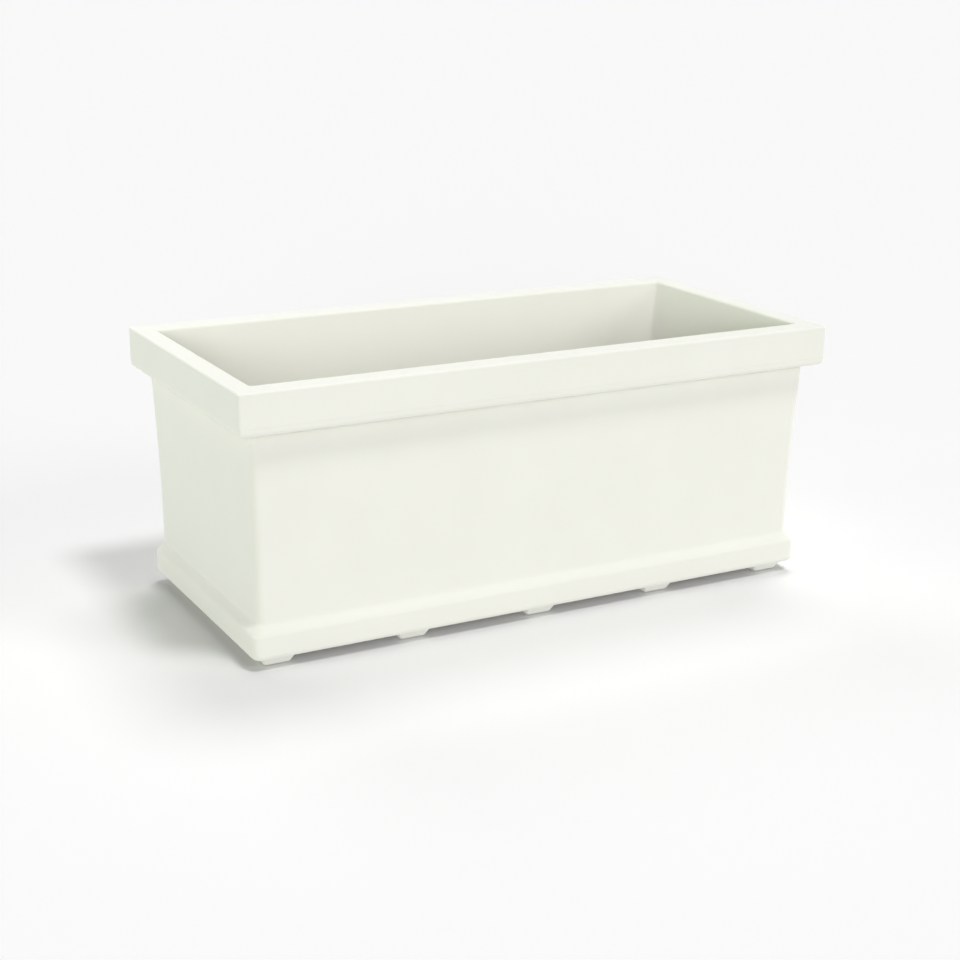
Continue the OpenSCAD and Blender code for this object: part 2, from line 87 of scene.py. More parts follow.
class Value:
    """A node's output socket that takes part in arithmetic on numbers."""

    def __init__(self, tree: "NodeBench", socket: bpy.types.NodeSocket) -> None:
        """Wraps an output socket of a node that stands on a bench."""
        self.tree = tree
        self.socket = socket

    def of(self, key: "str | int") -> "Value":
        """Another output of the same node."""
        return Value(self.tree, pick(self.socket.node.outputs, key))

    def maths(self, operation: str, *others: "Value | float") -> "Value":
        """A Math node with this value first."""
        return self.tree.maths(operation, self, *others)

    def __add__(self, other: "Value | float") -> "Value":
        """Sum."""
        return self.maths("ADD", other)

    def __sub__(self, other: "Value | float") -> "Value":
        """Difference."""
        return self.maths("SUBTRACT", other)

    def __rsub__(self, other: "Value | float") -> "Value":
        """Difference from a number."""
        return self.tree.maths("SUBTRACT", other, self)

    def __mul__(self, other: "Value | float") -> "Value":
        """Product."""
        return self.maths("MULTIPLY", other)

    def __truediv__(self, other: "Value | float") -> "Value":
        """Quotient."""
        return self.maths("DIVIDE", other)

    def __rtruediv__(self, other: "Value | float") -> "Value":
        """A number divided by this value."""
        return self.tree.maths("DIVIDE", other, self)

    def __mod__(self, other: "Value | float") -> "Value":
        """Remainder."""
        return self.maths("MODULO", other)

    def __gt__(self, other: "Value | float") -> "Value":
        """1 where this value is the larger one."""
        return self.maths("GREATER_THAN", other)

    def __lt__(self, other: "Value | float") -> "Value":
        """1 where this value is the smaller one."""
        return self.maths("LESS_THAN", other)

    def clamped(self, low: "Value | float" = 0.0, high: "Value | float" = 1.0) -> "Value":
        """This value kept between two limits."""
        return self.maths("MAXIMUM", low).maths("MINIMUM", high)

    __radd__ = __add__
    __rmul__ = __mul__


def pick(sockets: Iterable[bpy.types.NodeSocket], key: "str | int") -> bpy.types.NodeSocket:
    """Finds a socket by its place, its identifier or its name.

    Args:
        sockets: a node's inputs or outputs.
        key: the place, identifier or name.

    Returns:
        The first enabled socket that fits.
    """
    if isinstance(key, int):
        return list(sockets)[key]
    for socket in sockets:
        if socket.identifier == key:
            return socket
    return next(s for s in sockets if s.name == key and s.enabled)


class NodeBench:
    """A node tree that is built with Python expressions."""

    def __init__(self, tree: bpy.types.NodeTree) -> None:
        """Takes over a tree and empties it."""
        self.tree = tree
        tree.nodes.clear()

    def add(
        self,
        kind: str,
        settings: "Mapping[str, Any] | None" = None,
        sockets: "Mapping[str | int, Any] | None" = None,
        output: "str | int" = 0,
    ) -> Value:
        """Adds a node.

        Args:
            kind: the node's type.
            settings: its properties, set before its sockets; "stops" is a ramp's list of
                (place, colour).
            sockets: values or links of its inputs, by name, identifier or place.
            output: the output that the result stands for.

        Returns:
            That output, or the node's first input where it has no output.
        """
        node = self.tree.nodes.new(kind)
        for name, value in (settings or {}).items():
            if name == "stops":
                self._set_stops(node.color_ramp, value)
            else:
                setattr(node, name, value)
        for key, value in (sockets or {}).items():
            self.feed(pick(node.inputs, key), value)
        return Value(self, pick(node.outputs, output) if node.outputs else node.inputs[0])

    def feed(self, socket: bpy.types.NodeSocket, value: Any) -> None:
        """Links or sets an input.

        Args:
            socket: the input.
            value: a Value to link, several of them, or the input's number.
        """
        if isinstance(value, (list, tuple)) and value and isinstance(value[0], Value):
            for one in value:
                self.feed(socket, one)
        elif isinstance(value, Value):
            self.tree.links.new(value.socket, socket)
        else:
            socket.default_value = value

    @staticmethod
    def _set_stops(ramp: bpy.types.ColorRamp, stops: Sequence[tuple]) -> None:
        """Gives a colour ramp its stops.

        Args:
            ramp: the ramp.
            stops: place and colour of each stop.
        """
        while len(ramp.elements) > len(stops):
            ramp.elements.remove(ramp.elements[-1])
        while len(ramp.elements) < len(stops):
            ramp.elements.new(1.0)
        for element, (place, colour) in zip(ramp.elements, stops):
            element.position = place
            element.color = colour

    def maths(self, operation: str, *values: "Value | float") -> Value:
        """A Math node on numbers."""
        return self.add("ShaderNodeMath", {"operation": operation}, dict(enumerate(values)))

    def vector(self, operation: str, *values: Any, output: int = 0) -> Value:
        """A Vector Math node."""
        return self.add("ShaderNodeVectorMath", {"operation": operation}, dict(enumerate(values)), output)

    def xyz(self, x: "Value | float", y: "Value | float", z: "Value | float") -> Value:
        """A vector from three numbers."""
        return self.add("ShaderNodeCombineXYZ", None, {"X": x, "Y": y, "Z": z})

    def parts(self, vector: Value) -> tuple[Value, Value, Value]:
        """The three numbers of a vector."""
        split = self.add("ShaderNodeSeparateXYZ", None, {0: vector})
        return split.of("X"), split.of("Y"), split.of("Z")

    def blend(self, share: "Value | float", first: Any, second: Any) -> Value:
        """A colour between two.

        Args:
            share: how much of the second, from 0 to 1.
            first: the first colour.
            second: the second colour.

        Returns:
            The blend.
        """
        return self.add(
            "ShaderNodeMix",
            {"data_type": "RGBA", "clamp_factor": True},
            {"Factor_Float": share, "A_Color": first, "B_Color": second},
            "Result_Color",
        )


class GeometryTree(NodeBench):
    """A Geometry Nodes tree with named inputs, which ends in Realize Instances and Set Material."""

    def __init__(self, name: str, inputs: Mapping[str, tuple[str, Any]]) -> None:
        """Makes the tree and its inputs.

        Args:
            name: the tree's name.
            inputs: socket type and default of each named input.
        """
        super().__init__(bpy.data.node_groups.new(name, "GeometryNodeTree"))
        face = self.tree.interface
        face.new_socket("Geometry", in_out="INPUT", socket_type="NodeSocketGeometry")
        for label, (kind, default) in inputs.items():
            socket = face.new_socket(label, in_out="INPUT", socket_type=kind)
            if default is not None:
                socket.default_value = default
        face.new_socket("Material", in_out="INPUT", socket_type="NodeSocketMaterial")
        face.new_socket("Geometry", in_out="OUTPUT", socket_type="NodeSocketGeometry")
        self.given = self.add("NodeGroupInput")

    def input(self, label: str) -> Value:
        """One of the tree's named inputs."""
        return self.given.of(label)

    def end_with(self, geometry: Value) -> None:
        """Realizes, dresses and hands out the geometry.

        Args:
            geometry: the finished shape.
        """
        real = self.add("GeometryNodeRealizeInstances", None, {"Geometry": geometry})
        dressed = self.add(
            "GeometryNodeSetMaterial", None, {"Geometry": real, "Material": self.input("Material")}
        )
        self.add("NodeGroupOutput", None, {"Geometry": dressed})

    def run(
        self, mesh: bpy.types.Mesh, values: Mapping[str, Any], material: bpy.types.Material
    ) -> bpy.types.Mesh:
        """Runs the tree on a mesh.

        Args:
            mesh: what the tree's Geometry input gets.
            values: the named inputs.
            material: what the result is dressed in.

        Returns:
            The result as a plain mesh.
        """
        carrier = new_object("carrier", mesh)
        modifier = carrier.modifiers.new("tree", "NODES")
        modifier.node_group = self.tree
        sockets = {s.name: s.identifier for s in self.tree.interface.items_tree if s.in_out == "INPUT"}
        for label, value in {**values, "Material": material}.items():
            modifier[sockets[label]] = value
        result = shaped(carrier)
        carrier.modifiers.remove(modifier)
        bpy.data.objects.remove(carrier)
        return result


# ---- Sections and the shells that are carried round them ----


@dataclass(frozen=True)
class Corner:
    """A corner of a shell's section, in millimetres.

    inset_x and inset_y are measured inwards from the shell's outline, upright_r is the radius of
    the upright edge there, z is the height, and fillet rounds the corner itself.
    """

    inset_x: float
    inset_y: float
    upright_r: float
    z: float
    fillet: float = 0.0

    @property
    def numbers(self) -> Vector:
        """The corner as one vector."""
        return Vector((self.inset_x, self.inset_y, self.upright_r, self.z))


def even(inset: float, upright_r: float, z: float, fillet: float = 0.0) -> Corner:
    """A corner with the same inset along X and along Y."""
    return Corner(inset, inset, upright_r, z, fillet)


def turned(outer_r: float, r: float, z: float, fillet: float = 0.0) -> Corner:
    """A corner of a turned piece of that outer radius, at the radius r."""
    return Corner(outer_r - r, outer_r - r, r, z, fillet)


class Section:
    """An outline of corners and fillets that a shell follows from the ground up and back.

    A fillet of ROUND_FROM and more gets ROUND_STEPS facets, and a smaller one FINE_STEPS. It takes up
    at most MOST_OF_SIDE of each side, and the points HOLD beyond its ends keep the flats flat.
    """

    FINE_STEPS = 3
    ROUND_STEPS = 9
    ROUND_FROM = 2.0
    MOST_OF_SIDE = 0.96
    HOLD = 0.25
    HOLD_SHARE = 0.3

    def __init__(self, corners: Sequence[Corner], closed: bool) -> None:
        """Keeps the corners of a ring, or of a solid whose first and last corners are its poles."""
        self.corners = list(corners)
        self.closed = closed

    def rows(self) -> list[Vector]:
        """The outline's points, with each fillet as an arc between two holding points.

        Returns:
            The points, each as its corner's numbers.
        """
        count = len(self.corners)
        points: list[Vector] = []
        for i, corner in enumerate(self.corners):
            at_end = not self.closed and i in (0, count - 1)
            if at_end or corner.fillet <= 0:
                points.append(corner.numbers)
                continue
            before = self.corners[i - 1].numbers
            after = self.corners[(i + 1) % count].numbers
            points.extend(self._arc(before, corner.numbers, after, corner.fillet))
        return points

    def _arc(self, before: Vector, here: Vector, after: Vector, fillet: float) -> list[Vector]:
        """The points of one fillet.

        Args:
            before: the corner before.
            here: the corner to round.
            after: the corner after.
            fillet: the radius.

        Returns:
            A holding point, the arc's points and another holding point.
        """
        back, ahead = before - here, after - here
        span_back, span_ahead = flat_length(back), flat_length(ahead)
        cosine = (back[0] * ahead[0] + back[3] * ahead[3]) / (span_back * span_ahead)
        half = math.acos(max(-1.0, min(1.0, cosine))) / 2
        reach = min(fillet / math.tan(half), self.MOST_OF_SIDE * min(span_back, span_ahead))
        start, end = here + back * (reach / span_back), here + ahead * (reach / span_ahead)
        weight = math.sin(half)
        steps = self.ROUND_STEPS if fillet >= self.ROUND_FROM else self.FINE_STEPS
        arc = [rational_point(start, here, end, weight, k / steps) for k in range(steps + 1)]
        hold_back = min(self.HOLD, self.HOLD_SHARE * (span_back - reach))
        hold_ahead = min(self.HOLD, self.HOLD_SHARE * (span_ahead - reach))
        first = start + back * (hold_back / span_back)
        last = end + ahead * (hold_ahead / span_ahead)
        return [first, *arc, last]

    def mesh(self, name: str) -> bpy.types.Mesh:
        """The outline as a mesh of points in metres, with the upright radius as an attribute.

        Args:
            name: the mesh's name.

        Returns:
            The mesh.
        """
        rows = self.rows()
        mesh = bpy.data.meshes.new(name)
        mesh.from_pydata([(p[0] * MM, p[1] * MM, p[3] * MM) for p in rows], [], [])
        radius = mesh.attributes.new("upright_r", "FLOAT", "POINT")
        radius.data.foreach_set("value", [p[2] * MM for p in rows])
        return mesh


def flat_length(step: Vector) -> float:
    """Length of a step in the plane of the section."""
    return max(math.hypot(step[0], step[3]), 1e-6)


def rational_point(start: Vector, middle: Vector, end: Vector, weight: float, t: float) -> Vector:
    """A point of a circular arc; weight is the sine of half the angle between its two sides."""
    a, b, c = (1 - t) ** 2, 2 * weight * t * (1 - t), t**2
    return (start * a + middle * b + end * c) / (a + b + c)


class ShellTree(GeometryTree):
    """Carries a section round a rounded rectangle, or a circle, as a shell."""

    def __init__(self) -> None:
        """Builds the tree."""
        super().__init__(
            "shell_round_a_section",
            {
                "Length": ("NodeSocketFloat", 1.0),
                "Depth": ("NodeSocketFloat", 1.0),
                "Centre": ("NodeSocketVector", None),
                "Corner Steps": ("NodeSocketInt", 12),
                "Hold": ("NodeSocketFloat", 0.001),
                "Ring": ("NodeSocketInt", 1),
            },
        )
        section = self.input("Geometry")
        steps = self.input("Corner Steps")
        count = self.add(
            "GeometryNodeAttributeDomainSize", {"component": "MESH"}, {"Geometry": section}, "Point Count"
        )
        per_corner = steps + 3
        around = per_corner * 4
        columns = around + 1
        grid = self.add(
            "GeometryNodeMeshGrid",
            None,
            {"Vertices X": count + self.input("Ring"), "Vertices Y": columns},
        )
        index = self.add("GeometryNodeInputIndex")
        row = (index / columns).maths("FLOOR") % count
        column = (index % columns) % around
        corner = (column / per_corner).maths("FLOOR")
        place = column % per_corner
        turn = (place - 1.0).clamped(0.0, steps) / steps
        angle = (corner + turn) * (math.pi / 2)
        middle = (corner + 0.5) * (math.pi / 2)
        sign_x, sign_y = middle.maths("COSINE").maths("SIGN"), middle.maths("SINE").maths("SIGN")
        inset_x, inset_y, z = self.parts(self._sampled(section, row, "FLOAT_VECTOR"))
        radius = self._sampled(section, row, "FLOAT")
        cosine, sine = angle.maths("COSINE"), angle.maths("SINE")
        half_x = self.input("Length") / 2 - inset_x - radius
        half_y = self.input("Depth") / 2 - inset_y - radius
        hold = self.input("Hold").clamped(0.0, half_x.maths("MINIMUM", half_y))
        shift = ((place > steps + 1.5) - (place < 0.5)) * hold
        point = self.xyz(
            sign_x * half_x + radius * cosine - shift * sine,
            sign_y * half_y + radius * sine + shift * cosine,
            z,
        )
        placed = self.add(
            "GeometryNodeSetPosition",
            None,
            {"Geometry": grid, "Position": self.vector("ADD", point, self.input("Centre"))},
        )
        merged = self.add("GeometryNodeMergeByDistance", None, {"Geometry": placed, "Distance": WELD})
        self.end_with(merged)

    def _sampled(self, section: Value, row: Value, kind: str) -> Value:
        """The section's place or upright radius at a row.

        Args:
            section: the section's points.
            row: which point.
            kind: FLOAT_VECTOR for the place, FLOAT for the radius.

        Returns:
            The sampled value.
        """
        if kind == "FLOAT_VECTOR":
            source = self.add("GeometryNodeInputPosition")
        else:
            source = self.add(
                "GeometryNodeInputNamedAttribute", {"data_type": "FLOAT"}, {"Name": "upright_r"}
            )
        return self.add(
            "GeometryNodeSampleIndex",
            {"data_type": kind, "domain": "POINT"},
            {"Geometry": section, "Value": source, "Index": row},
        )


class DrillTree(GeometryTree):
    """Cuts a stepped hole at each of several spots: a bore right through, and a wider seat."""

    FACETS = 40

    def __init__(self) -> None:
        """Builds the tree."""
        super().__init__(
            "stepped_holes",
            {
                "Spots": ("NodeSocketObject", None),
                "Bore Radius": ("NodeSocketFloat", 0.002),
                "Bore Bottom": ("NodeSocketFloat", 0.0),
                "Bore Top": ("NodeSocketFloat", 0.02),
                "Seat Radius": ("NodeSocketFloat", 0.004),
                "Seat Bottom": ("NodeSocketFloat", 0.0),
                "Seat Top": ("NodeSocketFloat", 0.01),
            },
        )
        spots = self.add("GeometryNodeObjectInfo", None, {"Object": self.input("Spots")}, "Geometry")
        cutters = [self._cutters(spots, word) for word in ("Bore", "Seat")]
        cut = self.input("Geometry")
        for cutter in cutters:
            cut = self.add(
                "GeometryNodeMeshBoolean",
                {"operation": "DIFFERENCE", "solver": "EXACT"},
                {"Mesh 1": cut, "Mesh 2": cutter},
            )
        self.end_with(cut)

    def _cutters(self, spots: Value, word: str) -> Value:
        """Cylinders at the spots.

        Args:
            spots: the spots' points.
            word: Bore or Seat.

        Returns:
            The realized cylinders.
        """
        low, high = self.input(f"{word} Bottom"), self.input(f"{word} Top")
        cylinder = self.add(
            "GeometryNodeMeshCylinder",
            None,
            {"Vertices": self.FACETS, "Radius": self.input(f"{word} Radius"), "Depth": high - low},
            "Mesh",
        )
        lifted = self.add(
            "GeometryNodeTransform",
            None,
            {"Geometry": cylinder, "Translation": self.xyz(0.0, 0.0, (high + low) / 2)},
        )
        placed = self.add("GeometryNodeInstanceOnPoints", None, {"Points": spots, "Instance": lifted})
        return self.add("GeometryNodeRealizeInstances", None, {"Geometry": placed})


class RepeatTree(GeometryTree):
    """Repeats one unit mesh at each of several spots."""

    def __init__(self) -> None:
        """Builds the tree."""
        super().__init__("unit_at_spots", {"Spots": ("NodeSocketObject", None)})
        spots = self.add("GeometryNodeObjectInfo", None, {"Object": self.input("Spots")}, "Geometry")
        placed = self.add(
            "GeometryNodeInstanceOnPoints", None, {"Points": spots, "Instance": self.input("Geometry")}
        )
        self.end_with(placed)


class SlottedPlateTree(GeometryTree):
    """A flat plate with rounded slots in columns and rows, and round holes over its legs."""

    CORNER_POINTS = 8
    SLOT_POINTS = 5
    HOLE_FACETS = 40
    SLOT_ROUND = 0.49

    def __init__(self) -> None:
        """Builds the tree."""
        sizes = ("Length", "Width", "Corner Radius", "Bottom", "Thickness", "Slot Length", "Slot Width")
        places = ("Pitch X", "Pitch Y", "Hole Radius", "Hole Reach X", "Hole Reach Y")
        floats = {label: ("NodeSocketFloat", 0.01) for label in sizes + places}
        super().__init__(
            "slotted_plate",
            {
                **floats,
                "Columns": ("NodeSocketInt", 8),
                "Rows": ("NodeSocketInt", 8),
                "Centre": ("NodeSocketVector", None),
            },
        )
        outline = self._rounded(
            self.input("Length"), self.input("Width"), self.input("Corner Radius"), self.CORNER_POINTS
        )
        width = self.input("Slot Width")
        slot = self._rounded(
            self.input("Slot Length"), width, width * self.SLOT_ROUND, self.SLOT_POINTS
        )
        columns, rows = self.input("Columns"), self.input("Rows")
        slots = self._on_grid(
            slot, columns, rows, self.input("Pitch X") * (columns - 1), self.input("Pitch Y") * (rows - 1)
        )
        ring = self.add(
            "GeometryNodeCurvePrimitiveCircle",
            None,
            {"Resolution": self.HOLE_FACETS, "Radius": self.input("Hole Radius")},
        )
        holes = self._on_grid(ring, 3, 2, self.input("Hole Reach X") * 2, self.input("Hole Reach Y") * 2)
        curves = self.add("GeometryNodeJoinGeometry", None, {"Geometry": [outline, slots, holes]})
        real = self.add("GeometryNodeRealizeInstances", None, {"Geometry": curves})
        flat = self.add("GeometryNodeFillCurve", None, {"Curve": real})
        up = self.xyz(0.0, 0.0, 1.0)
        raised = self.add(
            "GeometryNodeExtrudeMesh",
            {"mode": "FACES"},
            {
                "Mesh": flat,
                "Offset": up,
                "Offset Scale": self.input("Thickness"),
                "Individual": False,
            },
        )
        under = self.add("GeometryNodeFlipFaces", None, {"Mesh": flat})
        both = self.add("GeometryNodeJoinGeometry", None, {"Geometry": [raised, under]})
        merged = self.add("GeometryNodeMergeByDistance", None, {"Geometry": both, "Distance": WELD})
        lift = self.vector("ADD", self.xyz(0.0, 0.0, self.input("Bottom")), self.input("Centre"))
        placed = self.add("GeometryNodeTransform", None, {"Geometry": merged, "Translation": lift})
        self.end_with(placed)

    def _rounded(self, length: Value, width: Value, radius: Value, count: int) -> Value:
        """A rounded rectangle as a curve.

        Args:
            length: its size along X.
            width: its size along Y.
            radius: its corner radius.
            count: points in each corner.

        Returns:
            The curve.
        """
        plain = self.add(
            "GeometryNodeCurvePrimitiveQuadrilateral", None, {"Width": length, "Height": width}
        )
        return self.add(
            "GeometryNodeFilletCurve",
            {"mode": "POLY"},
            {"Curve": plain, "Count": count, "Radius": radius, "Limit Radius": True},
        )

    def _on_grid(
        self, unit: Value, columns: Any, rows: Any, span_x: "Value | float", span_y: "Value | float"
    ) -> Value:
        """A curve repeated on a grid of points.

        Args:
            unit: the curve.
            columns: how many along X.
            rows: how many along Y.
            span_x: from the first column to the last.
            span_y: from the first row to the last.

        Returns:
            The instances.
        """
        grid = self.add(
            "GeometryNodeMeshGrid",
            None,
            {"Size X": span_x, "Size Y": span_y, "Vertices X": columns, "Vertices Y": rows},
        )
        return self.add("GeometryNodeInstanceOnPoints", None, {"Points": grid, "Instance": unit})


# ---- Finishes ----


@dataclass(frozen=True)
class Resin:
    """Moulded resin: an even colour with faint clouding, a fine grain and a satin skin."""

    name: str
    colour: tuple[float, float, float]
    shade: tuple[float, float, float]
    roughness: float = 0.42
    roughness_swing: float = 0.10
    cloud_size: float = 90.0
    cloud_share: float = 0.55
    speck_share: float = 0.10
    grain_size: float = 0.9
    grain_depth: float = 0.035
    ripple_size: float = 38.0
    ripple_depth: float = 0.16
    chalk: float = 0.0

    CLOUD_FROM = 0.35
    CLOUD_GAIN = 2.2
    SPECK_FROM = 0.62
    SPECK_WIDTH = 2.2

    def material(self) -> bpy.types.Material:
        """Builds the material.

        Returns:
            The material.
        """
        material, bench = new_material(self.name)
        place = bench.add("ShaderNodeTexCoord", output="Object")
        cloud = noise(bench, place, self.cloud_size, detail=3.0)
        speck = noise(bench, place, self.grain_size * self.SPECK_WIDTH, detail=1.0)
        clouds = (cloud - self.CLOUD_FROM).clamped() * (self.CLOUD_GAIN * self.cloud_share)
        specks = (speck - self.SPECK_FROM).clamped() * self.speck_share
        colour = bench.blend(clouds + specks, rgba(self.colour), rgba(self.shade))
        roughness = (cloud * 0.4 + speck * 0.6 - 0.5) * self.roughness_swing + self.roughness
        grain = noise(bench, place, self.grain_size, detail=2.0) * self.grain_depth
        ripple = noise(bench, place, self.ripple_size, detail=1.0) * self.ripple_depth
        constants = {"IOR": 1.5, "Diffuse Roughness": self.chalk}
        finish(bench, colour, roughness.clamped(0.05, 1.0), bump(bench, grain + ripple), constants)
        return material


@dataclass(frozen=True)
class Rubber:
    """Moulded rubber: near black, matt, with a fine pitted skin and a dusty bloom."""

    name: str
    colour: tuple[float, float, float] = (0.022, 0.023, 0.024)
    bloom: tuple[float, float, float] = (0.060, 0.061, 0.060)
    roughness: float = 0.72
    pit_size: float = 0.7
    pit_depth: float = 0.05

    DUST_SIZE = 14.0
    DUST_FROM = 0.45
    DUST_GAIN = 1.6
    ROUGH_SPREAD = 0.15

    def material(self) -> bpy.types.Material:
        """Builds the material.

        Returns:
            The material.
        """
        material, bench = new_material(self.name)
        place = bench.add("ShaderNodeTexCoord", output="Object")
        dust = noise(bench, place, self.DUST_SIZE, detail=4.0)
        pits = noise(bench, place, self.pit_size, detail=2.0)
        share = (dust - self.DUST_FROM).clamped() * self.DUST_GAIN
        colour = bench.blend(share, rgba(self.colour), rgba(self.bloom))
        roughness = self.roughness + (pits - 0.5) * self.ROUGH_SPREAD
        finish(bench, colour, roughness, bump(bench, pits * self.pit_depth), {"Specular IOR Level": 0.35})
        return material


@dataclass(frozen=True)
class TurnedSteel:
    """Stainless steel with fine turning marks round each head and a soft uneven sheen."""

    name: str
    colour: tuple[float, float, float] = (0.58, 0.57, 0.55)
    dull: tuple[float, float, float] = (0.40, 0.39, 0.37)
    roughness: float = 0.30
    mark_size: float = 0.35

    STAIN_SIZE = 5.0
    STAIN_FROM = 0.4
    STAIN_GAIN = 1.5
    ROUGH_SPREAD = 0.2

    def material(self) -> bpy.types.Material:
        """Builds the material.

        Returns:
            The material.
        """
        material, bench = new_material(self.name)
        place = bench.add("ShaderNodeTexCoord", output="Object")
        stain = noise(bench, place, self.STAIN_SIZE, detail=3.0)
        marks = noise(bench, place, self.mark_size, detail=2.0)
        share = (stain - self.STAIN_FROM).clamped() * self.STAIN_GAIN
        colour = bench.blend(share, rgba(self.colour), rgba(self.dull))
        roughness = self.roughness + (marks - 0.5) * self.ROUGH_SPREAD
        finish(bench, colour, roughness, bump(bench, marks * 0.02), {"Metallic": 1.0})
        return material


def new_material(name: str) -> tuple[bpy.types.Material, NodeBench]:
    """An empty node material and the bench of its tree."""
    material = bpy.data.materials.new(name)
    material.use_nodes = True
    return material, NodeBench(material.node_tree)


def rgba(colour: Sequence[float]) -> tuple[float, float, float, float]:
    """A colour with full opacity."""
    return (colour[0], colour[1], colour[2], 1.0)


def noise(bench: NodeBench, place: Value, size: float, detail: float) -> Value:
    """Noise in space.

    Args:
        bench: where its node stands.
        place: the place that it's read at.
        size: about how wide its features are, in millimetres.
        detail: how many finer layers it has.

    Returns:
        Its value, from 0 to 1.
    """
    return bench.add(
        "ShaderNodeTexNoise",
        {"noise_dimensions": "3D"},
        {"Vector": place, "Scale": 1.0 / (size * MM), "Detail": detail, "Roughness": 0.5},
        "Fac",
    )


def bump(bench: NodeBench, height: Value) -> Value:
    """A bump of that height in millimetres."""
    return bench.add("ShaderNodeBump", None, {"Strength": 1.0, "Distance": MM, "Height": height})


def finish(
    bench: NodeBench, colour: Value, roughness: Value, normal: Value, constants: Mapping[str, float]
) -> None:
    """Ends a material in one surface shader.

    Args:
        bench: the material's bench.
        colour: its base colour.
        roughness: its roughness.
        normal: its bump.
        constants: numbers that are the same all over the surface, by socket name.
    """
    shader = bench.add(
        "ShaderNodeBsdfPrincipled",
        None,
        {"Base Color": colour, "Roughness": roughness, "Normal": normal, **constants},
    )
    bench.add("ShaderNodeOutputMaterial", None, {"Surface": shader})


# ---- Workshop: turns sections and units into finished pieces ----


class Workshop:
    """Holds the node trees and turns meshes into pieces of the planter."""

    SHARP_ANGLE = math.radians(34)
    TURNED_STEPS = 14

    def __init__(self) -> None:
        """Builds each tree once."""
        self.shells = ShellTree()
        self.drills = DrillTree()
        self.repeats = RepeatTree()
        self.plates = SlottedPlateTree()

    def shell(
        self,
        section: Section,
        length: float,
        depth: float,
        material: bpy.types.Material,
        centre: Sequence[float] = (0.0, 0.0, 0.0),
        corner_steps: int = 12,
        hold: float = 1.0,
    ) -> bpy.types.Mesh:
        """A shell round a section, in millimetres.

        Args:
            section: the section.
            length: the outline's size along X.
            depth: its size along Y.
            material: its finish.
            centre: where its middle stands.
            corner_steps: facets in each upright corner.
            hold: distance from each corner to the facet edge that keeps its flats flat.

        Returns:
            The shell, with its faces outwards.
        """
        values = {
            "Length": length * MM,
            "Depth": depth * MM,
            "Centre": tuple(v * MM for v in centre),
            "Corner Steps": corner_steps,
            "Hold": hold * MM,
            "Ring": 1 if section.closed else 0,
        }
        return face_outwards(self.shells.run(section.mesh("section"), values, material))

    def turned(
        self, section: Section, outer_r: float, material: bpy.types.Material, centre: Sequence[float]
    ) -> bpy.types.Mesh:
        """A turned piece about an upright axis, whose section has corners from turned()."""
        size = 2 * outer_r
        return self.shell(section, size, size, material, centre, self.TURNED_STEPS, hold=0.0)

    def drill(
        self,
        mesh: bpy.types.Mesh,
        spots: Sequence[Sequence[float]],
        material: bpy.types.Material,
        bore: Sequence[float],
        seat: "Sequence[float] | None" = None,
    ) -> bpy.types.Mesh:
        """Cuts stepped holes, in millimetres.

        Args:
            mesh: what is drilled.
            spots: the holes' axes as (x, y).
            material: its finish.
            bore: radius, bottom and top of the bore.
            seat: radius, bottom and top of the seat, or None for a plain bore.

        Returns:
            The drilled mesh.
        """
        marks = spots_object(spots)
        values: dict[str, Any] = {"Spots": marks}
        for word, numbers in (("Bore", bore), ("Seat", seat or bore)):
            for label, number in zip(("Radius", "Bottom", "Top"), numbers):
                values[f"{word} {label}"] = number * MM
        result = self.drills.run(mesh, values, material)
        bpy.data.objects.remove(marks)
        return result

    def repeat(
        self, unit: bpy.types.Mesh, spots: Sequence[Sequence[float]], material: bpy.types.Material
    ) -> bpy.types.Mesh:
        """The unit at each spot.

        Args:
            unit: what is repeated.
            spots: where, as (x, y) in millimetres.
            material: its finish.

        Returns:
            All the copies as one mesh.
        """
        marks = spots_object(spots)
        result = self.repeats.run(unit, {"Spots": marks}, material)
        bpy.data.objects.remove(marks)
        return result

    def piece(
        self,
        name: str,
        meshes: Sequence[bpy.types.Mesh],
        body: str,
        slot: str,
        nodes: Sequence[str],
    ) -> bpy.types.Object:
        """Joins meshes into one piece that rides on a body and stands for nodes of the frame.

        Args:
            name: the piece's name.
            meshes: its parts.
            body: the body that it rides on.
            slot: the record's material slot of its finish; not used.
            nodes: the nodes of the frame that it stands for.

        Returns:
            The finished piece.
        """
        obj = new_object(name, joined(name, meshes))
        obj.data.shade_smooth()
        obj.data.set_sharp_from_angle(angle=self.SHARP_ANGLE)
        keep_flats_flat(obj)
        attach(obj, body)
        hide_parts(*nodes)
        LOG.info("%s: %d faces on %s", name, len(obj.data.polygons), body)
        return obj


def new_object(name: str, data: bpy.types.ID) -> bpy.types.Object:
    """An object of the scene for a mesh, a lamp or a camera."""
    obj = bpy.data.objects.new(name, data)
    bpy.context.scene.collection.objects.link(obj)
    return obj


def shaped(obj: bpy.types.Object) -> bpy.types.Mesh:
    """What an object's modifiers make of it, as a plain mesh."""
    graph = bpy.context.evaluated_depsgraph_get()
    return bpy.data.meshes.new_from_object(obj.evaluated_get(graph))


def carved(mesh: bpy.types.Mesh, tools: Sequence[bpy.types.Mesh]) -> bpy.types.Mesh:
    """Takes the shapes of tools out of a mesh.

    Args:
        mesh: what is carved.
        tools: the shapes to take out.

    Returns:
        The carved mesh.
    """
    obj = new_object("carved", mesh)
    cutters = [new_object(f"cutter_{k}", tool) for k, tool in enumerate(tools)]
    for cutter in cutters:
        cut = obj.modifiers.new(cutter.name, "BOOLEAN")
        cut.object = cutter
        cut.operation = "DIFFERENCE"
        cut.solver = "EXACT"
    result = shaped(obj)
    for spent in (*cutters, obj):
        bpy.data.objects.remove(spent)
    return result


